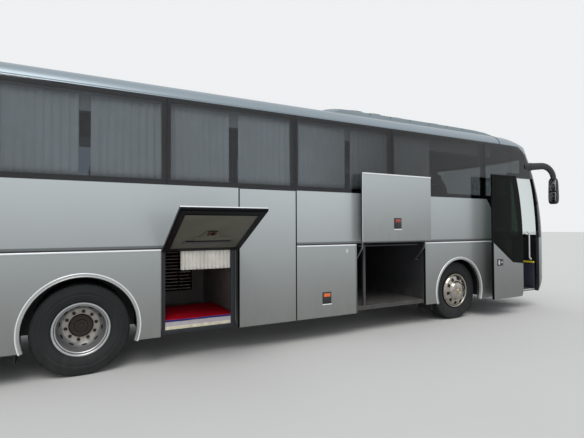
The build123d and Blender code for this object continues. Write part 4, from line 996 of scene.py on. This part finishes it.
def make_rear_rims():
    """Twin rims: bright flange, dark barrel with oval hand holes, pale disc and hub."""
    flange, disc, hub, dark = range(1, 5)
    hub_radius, disc_radius, flange_radius, flange_out = 0.134, 0.197, 0.2575, 0.230
    outline = [
        (0.0, 0.074), (0.030, 0.073), (0.036, 0.067), (0.068, 0.066), (0.074, 0.058), (0.100, 0.057),
        (0.118, 0.060), (0.129, 0.054), (0.133, 0.044), (hub_radius, disc_out),
        (0.194, disc_out), (0.200, 0.039), (0.213, 0.047), (0.240, 0.071), (0.252, 0.092),
        (0.2565, 0.125), (0.2555, 0.222), (0.258, 0.236), (0.2645, 0.2455), (0.271, 0.2475),
        (0.2735, 0.253), (0.2765, 0.265), (0.280, 0.272), (0.287, 0.2775), (0.296, 0.2790),
        (0.3020, 0.2770), (0.3025, 0.2735), (0.2970, 0.2620), (0.2970, -0.2600),
        (0.274, -0.2640), (0.257, -0.2400), (0.2565, -0.1250), (0.240, -0.071), (0.200, -0.039),
        (0.150, -disc_out), (0.0, -disc_out),
    ]
    slope = math.atan2(0.071 - 0.047, 0.240 - 0.213)
    hole_radius, hole_out, hole_wide, hole_tall = 0.2265, 0.059, 0.031, 0.0135
    for name, side in hands:
        form = bmesh.new()
        lathe(form, [(r, side * out) for r, out in outline], 80)
        bmesh.ops.recalc_face_normals(form, faces=form.faces)
        for face in form.faces:
            spot = face.calc_center_median()
            radius, out = math.hypot(spot.x, spot.z), spot.y * side
            if out > flange_out and radius > flange_radius:
                face.material_index = flange
            elif out > 0 and hub_radius < radius < disc_radius:
                face.material_index = disc
            elif radius < hub_radius:
                face.material_index = hub
        axis = Vector((0, side, 0))
        for x, z in spots_round(nut_count, 1.0, nut_turn + math.pi / nut_count):
            outwards, around = Vector((x, 0, z)), Vector((-z, 0, x))
            up_slope = outwards * math.cos(slope) + axis * math.sin(slope)
            facing = axis * math.cos(slope) - outwards * math.sin(slope)
            oval = Matrix((around * hole_wide, up_slope * hole_tall, facing)).transposed().to_4x4()
            hole = bmesh.new()
            bar(hole, (0, 0, -0.003), (0, 0, 0.0016), 1.0, 24, index=dark)
            add_form(form, hole, Matrix.Translation(outwards * hole_radius + axis * hole_out) @ oval)
        bmesh.ops.recalc_face_normals(form, faces=[f for f in form.faces if f.material_index == dark])
        bmesh.ops.translate(form, vec=(rear_axle_x, side * rear_rim_y, tyre_radius), verts=form.verts)
        keys = ["grey wheel steel", "rolled aluminium", "pale wheel disc", "dark hub iron", "black rubber"]
        made = piece("twin_rims_" + name, form, keys, "rear_wheels_" + name, 40)
        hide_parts("rear_rims_" + name)
        make_wheel_nuts(name, side)


# Flaps and doors

def make_flap_lamps():
    """On each luggage flap a bezel with a lens above a reflector and a bright rim below, and the locks."""
    width, height = 0.150, 0.172
    bezel, rim, lens, reflector = range(4)
    # finish, then from the bezel's lower corner: x, out of the flap, z
    parts = (
        (bezel, (0, -0.002, 0), (width, 0.007, height)),
        (rim, (-0.004, -0.002, -0.016), (width + 0.010, 0.006, -0.0005)),
        (lens, (0.020, 0.004, height * 0.60), (width - 0.020, 0.012, height - 0.020)),
        (reflector, (0.020, 0.004, 0.022), (width - 0.050, 0.010, height * 0.38)),
    )
    for label in flap_labels:
        low, _, side, y = flap_place(label)
        rear = label.startswith("2")
        turn = Matrix.Translation((low.x + (0.426 if rear else 0.625), y, low.z + 0.193))
        turn @= Matrix.Diagonal((1, side, 1, 1))
        blocks = [(turn @ Vector(start), turn @ Vector(end), index) for index, start, end in parts]
        lamp = "amber lens" if rear else "red amber lens"
        keys = ["black plastic", "bright lip paint", lamp, "dark cabin frame"]
        block_piece("flap_lamp_" + label, blocks, keys, "flap_" + label, (0.0025, 2))
        if rear:
            x, z = low.x + 0.868, low.z + 0.960
            form = bmesh.new()
            for end_z in (z - 0.013, z + 0.013):
                bar(form, (x, y, end_z), (x, y + side * 0.004, end_z), 0.017, 20)
            slab(form, (x - 0.017, y, z - 0.013), (x + 0.017, y + side * 0.0035, z + 0.013))
            bar(form, (x, y, z), (x, y + side * 0.007, z), 0.010, 16)
            piece("flap_lock_" + label, form, "chrome", "flap_" + label)


def make_flap_seals():
    """Rubber seal round the inner side of each luggage flap."""
    edge, width, deep = 0.020, 0.014, 0.006
    for label in flap_labels:
        low, high, side, outer = flap_place(label)
        near = outer - side * 0.032
        far = near - side * deep
        x_low, x_high, z_low, z_high = low.x + edge, high.x - edge, low.z + edge, high.z - edge
        blocks = [
            ((x_low, near, z_high - width), (x_high, far, z_high)),
            ((x_low, near, z_low), (x_high, far, z_low + width)),
            ((x_low, near, z_low), (x_low + width, far, z_high)),
            ((x_high - width, near, z_low), (x_high, far, z_high)),
        ]
        block_piece("flap_seal_" + label, blocks, "black rubber", "flap_" + label)


def make_hatch_lining():
    """Inner side of the hatch, drawn closed and then turned up: board, latch, slot strip, ledge and rim."""
    low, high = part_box("cabin_flap")
    inner = -(half_width - 0.030)
    foot, top = skirt_z + 0.0015, 1.335
    turn = (Matrix.Translation(hatch_hinge) @ Matrix.Rotation(-hatch_angle, 4, "X")
            @ Matrix.Translation(-hatch_hinge))
    board, latch, strip, ledge = range(4)
    boss_foot_z = 0.860
    form = bmesh.new()
    slab(form, (low.x + 0.066, inner - 0.0005, foot + 0.12), (high.x - 0.066, inner + 0.006, 1.330), board)
    for index, x_low, x_high, back, front, z_low, z_high in (
        (board, 0.300, 0.720, 0.004, 0.0160, 0.990, 1.085),
        (board, 0.360, 0.600, 0.004, 0.0200, boss_foot_z, 0.985),
        (latch, 0.425, 0.530, 0.014, 0.0260, 0.835, 0.935),
        (strip, 0.220, 0.760, 0.004, 0.0145, 1.100, 1.118),
        (ledge, 0.190, 0.800, 0.004, 0.0170, 1.120, 1.185),
        (strip, 0.475, 0.500, 0.018, 0.0300, 0.850, 0.915),
    ):
        made = slab(form, (low.x + x_low, inner + back, z_low),
                    (low.x + x_high, inner + front, z_high), index)
        if z_low == boss_foot_z:
            for vert in made:
                if vert.co.z < z_high - 0.05:
                    vert.co.x += 0.045 if vert.co.x < low.x + 0.45 else -0.045
    soften(form, 0.003, 2)
    bmesh.ops.transform(form, matrix=turn, verts=form.verts)
    keys = ["olive hatch board", "dark red latch", "matt rubber", "grey plastic"]
    piece("hatch_board", form, keys, "cabin_flap")
    form = bmesh.new()
    x_low, x_high = low.x + 0.0005, high.x - 0.0005
    for start, end in (
        ((x_low, foot), (x_high, foot + 0.125)), ((x_low, top), (x_high, 1.385)),
        ((x_low, foot + 0.125), (low.x + 0.068, top)), ((high.x - 0.068, foot + 0.125), (x_high, top)),
    ):
        slab(form, (start[0], 0.006 - half_width, start[1]), (end[0], inner + 0.011, end[1]))
    soften(form, 0.003, 2)
    bmesh.ops.transform(form, matrix=turn, verts=form.verts)
    piece("hatch_rim", form, "matt rubber", "cabin_flap")


def make_door_details():
    """Handle of the front door, and the rubber edges of both doors."""
    chrome = 1
    low, high = space("front_door_leaf")
    x, y = low.x + 0.100, low.y
    form = bmesh.new()
    slab(form, (x, y + 0.002, 0.950), (x + 0.165, y - 0.004, 1.072))
    soften(form, 0.0018, 2)
    slab(form, (x + 0.020, y - 0.003, 0.972), (x + 0.060, y - 0.012, 1.050), chrome)
    bar(form, (x + 0.120, y - 0.003, 1.011), (x + 0.120, y - 0.009, 1.011), 0.016, 20, index=chrome)
    piece("front_door_handle", form, ["black plastic", "chrome"], "front_door")
    edge = ((low.x - 0.002, y - 0.001, low.z), (low.x + 0.012, y + 0.034, 1.372))
    block_piece("front_door_edge", [edge], "matt rubber", "front_door", (0.002, 2))
    low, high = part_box("middle_door_leaf")
    edges = [((x, -half_width - 0.0012, low.z + 0.001), (x + 0.015, 0.03 - half_width, high.z - 0.001))
             for x in (low.x - 0.005, high.x - 0.012)]
    block_piece("middle_door_edges", edges, "matt rubber", "middle_door", (0.001, 1))


# Doorway and cabin

def make_doorway():
    """Grab rail, step edges, side step panel and sill of the front entrance."""
    x, y = 5.440, -1.150
    top_z, foot_z = 1.530, 1.030
    bend = Vector((0.050, 0.010, 0))
    foot = Vector((x, y, foot_z - 0.030)) + bend
    form = bmesh.new()
    rod(form, [(x - bend.x, y + bend.y, top_z + 0.030), (x, y, top_z), (x, y, foot_z), foot], 0.014, 14)
    for place_z in (top_z, foot_z):
        knob = Matrix.Translation((x, y, place_z))
        bmesh.ops.create_icosphere(form, subdivisions=2, radius=0.0145, matrix=knob)
    bar(form, foot, foot + Vector((0.008, 0.002, -0.004)), 0.024, 16)
    piece("entry_rail", form, "white enamel")
    steps = [((4.700, y_edge - 0.003, z - 0.022), (5.380, y_edge + 0.035, z + 0.003))
             for y_edge, z in ((-1.214, 0.400), (-0.980, 0.700), (-0.740, 1.000))]
    block_piece("step_edges", steps, "grey plastic", rounding=(0.002, 2))
    panel = [((5.478, -1.212, 0.412), (5.497, -0.752, 0.935)),
             ((5.462, -1.213, 0.918), (5.4985, -0.750, 0.952), 1)]
    block_piece("entry_side_panel", panel, ["dark blue floor covering", "yellow step edge"],
                rounding=(0.003, 2))
    sill = ((4.705, -1.221, 0.375), (5.480, -1.2135, 0.402))
    block_piece("entry_sill", [sill], "rolled aluminium", rounding=(0.003, 2))


def make_cabin():
    """Slats on the rest cabin's back wall, and the frame of its opening."""
    board, slat = range(2)
    back, low_x, high_x = 0.288, -1.690, -1.235
    slats = [((low_x, back - 0.010, 0.660), (high_x, back - 0.0005, 1.330), board)]
    for index in range(12):
        z = 0.690 + index * 0.052
        slats.append(((low_x + 0.025, back - 0.034, z), (high_x - 0.025, back - 0.008, z + 0.013), slat))
    for x in (-1.670, -1.4625, -1.262):
        slats.append(((x, back - 0.038, 0.670), (x + 0.014, back - 0.008, 1.320), board))
    block_piece("cabin_slats", slats, ["matt rubber", "worn slat edges"])
    low_x, high_x = -1.9785, -1.0390
    foot_z, top_z = 0.4020, 1.4115
    jambs = [
        ((low_x, -1.2245, foot_z), (low_x + 0.034, -1.2030, top_z)),
        ((high_x - 0.062, -1.2245, foot_z), (high_x, -1.2030, top_z)),
        ((low_x - 0.012, -1.221, skirt_z + 0.016), (high_x + 0.012, -1.2135, foot_z - 0.0005)),
    ]
    block_piece("cabin_frame", jambs, "dark cabin frame", rounding=(0.004, 2))


# Soft pieces

pleat_length = 0.085
pleat_steps = 10
curtain_row = 0.12
curtain_thick = 0.0012


def thicken(made, thickness):
    layer = made.modifiers.new("thickness", "SOLIDIFY")
    layer.thickness = thickness
    layer.offset = 0


def make_curtain(name, low, high, key, pleat=pleat_length, depth=0.011, creased=False):
    """A pleated curtain in the space between two corners, hung as a sheet."""
    width, height = high.x - low.x, high.z - low.z
    count = max(3, round(width / pleat))
    form = bmesh.new()
    bmesh.ops.create_grid(
        form, x_segments=max(8, int(width / pleat * pleat_steps)),
        y_segments=max(4, int(height / curtain_row)), size=0.5,
    )
    middle_y = (low.y + high.y) / 2
    for vert in form.verts:
        along, up = vert.co.x + 0.5, vert.co.y + 0.5
        phase = 2 * math.pi * count * along + 0.6 * math.sin(7.0 * along + low.x)
        sway = noise.noise(Vector((low.x + along * 4, up * 2.0, low.y)))
        if creased:
            wave = 1 - 2 * abs(math.sin(phase / 2 + 0.2 * sway)) ** 0.5
        else:
            wave = math.sin(phase) * (1 - 0.25 * up) + 0.28 * math.sin(2.1 * phase + 3 * up + sway)
        vert.co = (low.x + width * along, middle_y + depth * 0.82 * wave, low.z + height * up)
    made = piece(name, form, key, "root", 180)
    thicken(made, curtain_thick)
    return made


def curtain_spaces():
    """The separate blocks of the curtains' node, as (low, high) corners."""
    form = bmesh.new()
    form.from_mesh(nodes["curtains"].data)
    bmesh.ops.remove_doubles(form, verts=form.verts, dist=0.0001)
    spaces, seen = [], set()
    for start in form.verts:
        if start.index in seen:
            continue
        stack, island = [start], []
        seen.add(start.index)
        while stack:
            vert = stack.pop()
            island.append(vert.co)
            for edge in vert.link_edges:
                other = edge.other_vert(vert)
                if other.index not in seen:
                    seen.add(other.index)
                    stack.append(other)
        low = Vector(min(c[axis] for c in island) for axis in range(3))
        high = Vector(max(c[axis] for c in island) for axis in range(3))
        shift = Vector((0, centre_y, 0))
        spaces.append((low - shift, high - shift))
    form.free()
    return sorted(spaces, key=lambda pair: (round(pair[0].y, 2), pair[0].x))


def make_curtains():
    """Window curtains and the rest cabin's own, in place of the blocks that hold their space."""
    for index, (low, high) in enumerate(curtain_spaces()):
        if high.z < 2.0:
            make_curtain("cabin_curtain", low, high, "cream cabin curtain", 0.050, 0.021, True)
        else:
            make_curtain(f"window_curtain_{index + 1}", low, high, "grey window curtain")
    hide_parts("curtains")


def cushion(low, high, cuts=5, crown=0.012, pull=0.05):
    """A cushion between two corners: a crowned top, and sides that pull in towards the corners."""
    form = bmesh.new()
    bmesh.ops.create_cube(form, size=2)
    bmesh.ops.subdivide_edges(form, edges=form.edges, cuts=cuts, use_grid_fill=True)
    low, high = Vector(low), Vector(high)
    half, centre = (high - low) / 2, (high + low) / 2
    for vert in form.verts:
        x, y, z = vert.co
        bulge = (1 - x * x) * (1 - y * y)
        waist = 1 - pull * (abs(x) > 0.99) * (y * y)
        rounded = 1 - 0.08 * (x * x * y * y)
        vert.co = (
            centre.x + half.x * x * waist * rounded,
            centre.y + half.y * y * rounded,
            centre.z + (half.z - crown) * z + (crown * bulge if z > 0 else 0),
        )
    return form


def make_mattress():
    """Foam pad with its bedding at the front, and a red mat over it."""
    low, high = space("cabin_mattress")
    edge_y, fall, clear = 0.0250, 0.026, 0.006
    form = cushion(low + Vector((0.004, 0.004, 0)), high - Vector((0.004, 0.004, 0.009)), 9, 0.006, 0.0)
    soften(form, 0.010, 2, [e for e in form.edges if e.calc_face_angle(0) > 0.9])
    front = cushion((low.x + clear, -1.2185, 0.4030), (high.x - 0.004, -1.1900, 0.5120), 9, 0.001, 0.0)
    soften(front, 0.005, 2, [e for e in front.edges if e.calc_face_angle(0) > 0.9])
    add_form(form, front)
    paint_faces(form, 1, lambda spot: spot.y < low.y + 0.02 and spot.z > 0.452)
    pad = piece("foam_pad", form, ["pale foam", "lilac bedding"], crease=60)
    form = bmesh.new()
    bmesh.ops.create_grid(form, x_segments=48, y_segments=160, size=0.5)
    width, length = high.x - low.x - 2 * clear, high.y - low.y + 0.019
    for vert in form.verts:
        along, deep = vert.co.x + 0.5, vert.co.y + 0.5
        past_edge = deep * (length + fall) - fall
        wrinkle = 0.0035 * noise.noise(Vector((along * 5, deep * 4, 0.3)))
        vert.co = (
            low.x + clear + width * along,
            low.y - edge_y + max(0.0, past_edge),
            high.z - 0.005 + wrinkle + min(0.0, past_edge),
        )
    paint_faces(form, 1, lambda spot: spot.z < high.z - 0.009)
    mat = piece("red_mat", form, ["red mat", "blue mat edge"], crease=180)
    thicken(mat, 0.003)
    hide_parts("cabin_mattress")


def seat_cushions(form, x, y, z):
    """Seat, back and headrest of one place, facing forwards."""
    half, reach = 0.215, 0.44
    add_form(form, cushion((x - 0.02, y - half, z + 0.33), (x + reach, y + half, z + 0.46), 4, 0.02))
    lean = Matrix.Translation((x + 0.035, y, z + 0.42)) @ Matrix.Rotation(math.radians(-12), 4, "Y")
    back = cushion((-0.055, -half, 0.0), (0.055, half, 0.56), 4, 0.0)
    for vert in back.verts:
        if vert.co.x > 0:
            vert.co.x += 0.035 * (vert.co.y / half) ** 2 - 0.012
    add_form(form, back, lean)
    add_form(form, cushion((-0.050, -half * 0.72, 0.565), (0.045, half * 0.72, 0.73), 3, 0.01), lean)


def make_seats():
    """Padded seats in place of the plain ones, their legs and shells."""
    rows, pitch, first_x = 11, 0.800, -5.000
    cabin_low_x, cabin_high_x = -1.503, 0.024
    form = bmesh.new()
    shells = bmesh.new()
    for index in range(rows):
        x, z = first_x + pitch * index, deck_z
        for side in (-1, 1):
            if side < 0 and cabin_low_x < x < cabin_high_x:
                continue
            for y in (0.525, 0.960):
                seat_cushions(form, x + 0.02, side * y, z)
            slab(shells, (x + 0.02, side * 0.60, z + 0.001), (x + 0.32, side * 0.64, z + 0.33))
            slab(shells, (x, side * 0.31, z + 0.30), (x + 0.40, side * 1.17, z + 0.335))
            for y in (0.305, 0.742, 1.165):
                slab(shells, (x + 0.05, side * y - 0.015, z + 0.52), (x + 0.40, side * y + 0.015, z + 0.56))
    driver_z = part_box("dashboard")[0].z
    seat_cushions(form, 4.740, 0.620, driver_z)
    slab(shells, (4.80, 0.52, driver_z + 0.001), (5.10, 0.72, driver_z + 0.335))
    made = piece("seat_pads", form, "seat cloth", crease=80)
    smooth = made.modifiers.new("round", "SUBSURF")
    smooth.levels = 1
    smooth.render_levels = 1
    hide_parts("seats")
    soften(shells, 0.004, 1)
    piece("seat_frames", shells, "grey plastic")


# Front, rear and roof

def make_plates():
    """Blank number plates with their raised rims."""
    for name, x, side, z in (("front", 6.0005, 1, 0.760), ("rear", -6.0005, -1, 0.450)):
        form = bmesh.new()
        slab(form, (x, -0.265, z - 0.060), (x + side * 0.006, 0.265, z + 0.060))
        soften(form, 0.002, 2)
        slab(form, (x + side * 0.004, -0.255, z - 0.050), (x + side * 0.0075, 0.255, z + 0.050), 1)
        piece("plate_" + name, form, ["black plastic", "white enamel"])


def make_unit():
    """Roof unit with low sides and a crowned top, its seams, screws and fans."""
    low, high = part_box("air_unit")
    half = (high.y - low.y) / 2
    rim_z, crown_z, foot_z = 3.602, 3.7995, 3.478
    # x, height at the sides, height in the middle
    stations = [
        (0.820, 3.552, 3.575), (0.850, 3.585, 3.660), (0.900, 3.598, 3.735), (1.000, rim_z, 3.782),
        (1.160, rim_z, crown_z), (2.200, rim_z, crown_z), (3.120, rim_z, crown_z), (3.620, 3.600, 3.770),
        (4.120, 3.594, 3.705), (4.420, 3.578, 3.635), (4.620, 3.548, 3.560),
    ]

    def crown(side_z, middle_z):
        shares = [k / 8 for k in range(-8, 9)]
        return [((half - 0.012) * s, side_z + (middle_z - side_z) * (1 - abs(s) ** 1.7)) for s in shares]

    sections = []
    for x, side_z, middle_z in stations:
        profile = [(-half, foot_z), (-half, side_z - 0.012)] + crown(side_z, middle_z)
        profile += [(half, side_z - 0.012), (half, foot_z), (0.45, 3.496), (0.0, 3.502), (-0.45, 3.496)]
        sections.append([(x, y, z) for y, z in profile])
    form = bmesh.new()
    loft(form, sections)
    made = piece("unit_hood", form, "roof unit", crease=28)
    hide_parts("air_unit")
    form = bmesh.new()
    for x in (1.504, 1.956, 2.408, 2.876, 3.346, 3.773):
        for side in (-1, 1):
            bar(form, (x, side * (half - 0.002), 3.578), (x, side * (half + 0.004), 3.578), 0.012, 12)
    piece("unit_screws", form, "screw steel")
    form = bmesh.new()
    for x in (1.180, 2.200, 3.110):
        rod(form, [(x, y, z + 0.0005) for y, z in crown(rim_z, crown_z)], 0.0022, 6)
    piece("unit_seams", form, "black rubber")
    form = bmesh.new()
    lie_flat = Matrix.Rotation(math.radians(90), 4, "X")
    for x in (1.48, 1.90):
        for side in (-1, 1):
            fan = bmesh.new()
            made = lathe(fan, [(0.185, -0.030), (0.185, 0.006), (0.174, 0.008), (0.168, -0.012)], 40)
            bmesh.ops.transform(fan, matrix=lie_flat, verts=made)
            for index in range(10):
                turn = math.pi * index / 10
                dx, dy = 0.172 * math.cos(turn), 0.172 * math.sin(turn)
                bar(fan, (-dx, -dy, 0.003), (dx, dy, 0.003), 0.0035, 6)
            bmesh.ops.recalc_face_normals(fan, faces=fan.faces)
            tilt = Matrix.Rotation(math.radians(-side * 12.5), 4, "X")
            add_form(form, fan, Matrix.Translation((x, side * 0.42, 3.747)) @ tilt)
    piece("unit_fans", form, "black plastic")


def make_headlamp_bowls():
    """Bright bowls behind the headlamps' covers."""
    lamp_z = 0.760
    form = bmesh.new()
    for y, radius in ((0.79, 0.085), (0.99, 0.070)):
        ring = [(radius, 0.0), (radius, -0.012), (radius - 0.010, -0.014), (radius - 0.014, -0.004),
                (radius * 0.5, 0.004), (0.0, 0.006)]
        made = lathe(form, ring, 36)
        turn = Matrix.Translation((nose_x(y) + 0.002, -y, lamp_z)) @ Matrix.Rotation(nose_turn(y), 4, "Z")
        bmesh.ops.transform(form, matrix=turn, verts=made)
    both_sides(form)
    piece("headlamp_bowls", form, "chrome")


def nose_x(y):
    """Where the nose stands at a distance from the centre plane: flat, then two arcs."""
    front_x = 6.0
    flat_end, crown_end = 0.4276, 1.1318
    crown_radius, corner_radius = 1.5, 0.270
    corner_x, corner_y = 5.5860, 1.0065
    if y <= flat_end:
        return front_x
    if y <= crown_end:
        return front_x - crown_radius + math.sqrt(crown_radius ** 2 - (y - flat_end) ** 2)
    return corner_x + math.sqrt(max(0.0, corner_radius ** 2 - (y - corner_y) ** 2))


def nose_turn(y):
    """Turn about Z that lays a shape facing -Y onto the right side of the nose."""
    step = 0.002
    slope = (nose_x(y + step) - nose_x(y - step)) / (2 * step)
    return math.radians(90) + math.atan(slope)


mirror_x, mirror_y = 5.815, -1.440


def make_mirrors():
    """Mirror arms with collars at the root, rounded heads, and their panes."""
    root = Vector((5.150, -1.235, 2.880))
    lean = Vector((0.680, -0.205, 0))
    reach, ahead = lean.length, lean.normalized()
    upward = Vector((0, 0, 1))
    beside = ahead.cross(upward)
    # In the arm's own upright plane: straight up to the bend, then an arc down to the drop
    bend, drop = Vector((0.60 * reach, 0.030)), Vector((reach, -0.240))
    way = bend.normalized()
    inward = Vector((way.y, -way.x))
    gap = drop - bend
    centre = bend + inward * gap.length_squared / (2 * gap.dot(inward))
    swing = (bend - centre).angle(drop - centre)
    spots = [bend * (step / 10) for step in range(10)]
    spots += [centre + Matrix.Rotation(-swing * step / 12, 2) @ (bend - centre) for step in range(13)]
    sections = []
    for index, spot in enumerate(spots):
        before, after = spots[max(0, index - 1)], spots[min(len(spots) - 1, index + 1)]
        run = (after - before).normalized()
        out = ahead * -run.y + upward * run.x
        share = index / (len(spots) - 1)
        grow = 1.10 if index in (0, 2, 4) else 1.0
        tall, wide = (0.078 - 0.020 * share) * grow, (0.050 - 0.008 * share) * grow
        hub = root + ahead * spot.x + upward * spot.y
        sections.append([hub + out * tall * c + beside * wide * s for c, s in spots_round(18, 1.0)])
    form = bmesh.new()
    loft(form, sections)
    head = bmesh.new()
    bmesh.ops.create_cube(head, size=2)
    bmesh.ops.subdivide_edges(head, edges=head.edges, cuts=7, use_grid_fill=True)
    for vert in head.verts:
        x, y, z = vert.co
        fit = (abs(x) ** 5 + abs(y) ** 5 + abs(z) ** 5) ** -0.2
        narrow = 0.93 - 0.07 * z
        flat_back = 0.55 if x < 0 else 1
        vert.co = (mirror_x + 0.062 * x * fit * flat_back, mirror_y + 0.097 * y * fit * narrow,
                   2.400 + 0.270 * z * fit)
    add_form(form, head)
    both_sides(form)
    made = piece("mirror_shells", form, "black plastic", crease=60)
    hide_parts("mirrors")
    form = bmesh.new()
    for z_low, z_high in ((2.400, 2.615), (2.185, 2.370)):
        slab(form, (mirror_x - 0.039, mirror_y - 0.072, z_low), (mirror_x - 0.031, mirror_y + 0.072, z_high))
    soften(form, 0.0015, 2)
    both_sides(form)
    piece("mirror_panes", form, "mirror glass")


def make_side_markers():
    """Amber side lamps low on the left side; the right side carries its lamps on the flaps."""
    base, lens = range(2)
    blocks = []
    for x in (-4.700, -3.600, -2.120, 2.500, 4.100):
        blocks += [
            ((x - 0.060, half_width, 0.610), (x + 0.060, half_width + 0.005, 0.660), base),
            ((x - 0.054, half_width + 0.004, 0.615), (x + 0.054, half_width + 0.014, 0.655), lens),
        ]
    made = block_piece("side_markers", blocks, ["black plastic", "amber lens"],
                       rounding=(0.002, 2))
    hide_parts("marker_lamps")


def make_bay():
    """Sills, ceiling rails and posts of the luggage bays on both sides."""
    form = bmesh.new()
    for low_x, high_x in ((-0.100, 0.875), (0.960, 2.330)):
        slab(form, (low_x, -1.234, 0.372), (high_x, -1.2155, 0.4025))
        bar(form, (low_x + 0.06, -1.190, 1.372), (high_x - 0.06, -1.190, 1.372), 0.013, 14)
        slab(form, (low_x + 0.140, -1.205, 0.4035), (low_x + 0.180, -1.165, 1.390))
    both_sides(form)
    piece("bay_rails", form, "dark painted steel")


def make_engine_louvres():
    """Air louvres low on the engine flap, and its handle."""
    x, foot_z = -6.0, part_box("engine_flap")[0].z
    count, first, pitch = 9, 0.14, 0.048
    heights = [foot_z + first + index * pitch for index in range(count)]
    louvres = [((x - 0.004, -0.36, z), (x + 0.002, 0.36, z + 0.028)) for z in heights]
    block_piece("engine_louvres", louvres, "black plastic", "engine_flap", (0.0015, 1))
    handle = ((x - 0.010, -0.09, foot_z + 0.045), (x + 0.001, 0.09, foot_z + 0.085))
    block_piece("engine_flap_handle", [handle], "black plastic", "engine_flap", (0.003, 2))


# Ground and light

floor_size = 150
sky_light, sky_strength = tone(0.93, 0.96, 1.0), 0.72
sky_seen = tone(0.86, 0.875, 0.89)
sun_strength, sun_width = 1.35, math.radians(35)
sun_colour = (1.0, 0.98, 0.95)
sun_way = Vector((0.25, 0.62, -1.0))


def add_stage():
    """A pale floor on the frame's ground."""
    form = bmesh.new()
    bmesh.ops.create_grid(form, x_segments=1, y_segments=1, size=floor_size)
    mesh = bpy.data.meshes.new("floor")
    form.to_mesh(mesh)
    form.free()
    ground = Finish("pale floor", tone(0.62, 0.62, 0.61), 0.9).drift(0.5, 0.04)
    mesh.materials.append(ground.material)
    floor = bpy.data.objects.new("floor", mesh)
    bpy.context.scene.collection.objects.link(floor)


def add_light():
    """An even overcast sky, paler where it is seen or mirrored, and a broad soft sun."""
    world = bpy.data.worlds.new("sky")
    bpy.context.scene.world = world
    world.use_nodes = True
    tree = world.node_tree
    tree.nodes.clear()
    path = tree.nodes.new("ShaderNodeLightPath")
    shown = do_math(tree, "MAXIMUM", path.outputs["Is Camera Ray"], path.outputs["Is Glossy Ray"])
    shown = do_math(tree, "MAXIMUM", shown, path.outputs["Is Transmission Ray"])
    soft = add_node(tree, "Background", Color=sky_light, Strength=sky_strength)
    pale = add_node(tree, "Background", Color=sky_seen, Strength=1.0)
    mix = add_node(tree, "MixShader", i0=shown, i1=soft.outputs[0], i2=pale.outputs[0])
    out = tree.nodes.new("ShaderNodeOutputWorld")
    tree.links.new(mix.outputs[0], out.inputs["Surface"])
    data = bpy.data.lights.new("overcast", "SUN")
    data.energy = sun_strength
    data.angle = sun_width
    data.color = sun_colour
    lamp = bpy.data.objects.new("overcast", data)
    lamp.rotation_euler = sun_way.to_track_quat("-Z", "Y").to_euler()
    bpy.context.scene.collection.objects.link(lamp)


scene = bpy.context.scene
scene.view_settings.view_transform = "Standard"
add_camera()
add_stage()
add_light()
dress_nodes()
make_lips()
make_arch_lips()
make_roof_step()
make_tyres()
make_front_covers()
make_rear_rims()
make_flap_lamps()
make_flap_seals()
make_hatch_lining()
make_door_details()
make_doorway()
make_cabin()
make_curtains()
make_mattress()
make_seats()
make_plates()
make_unit()
make_side_markers()
make_bay()
make_headlamp_bowls()
make_mirrors()
make_engine_louvres()
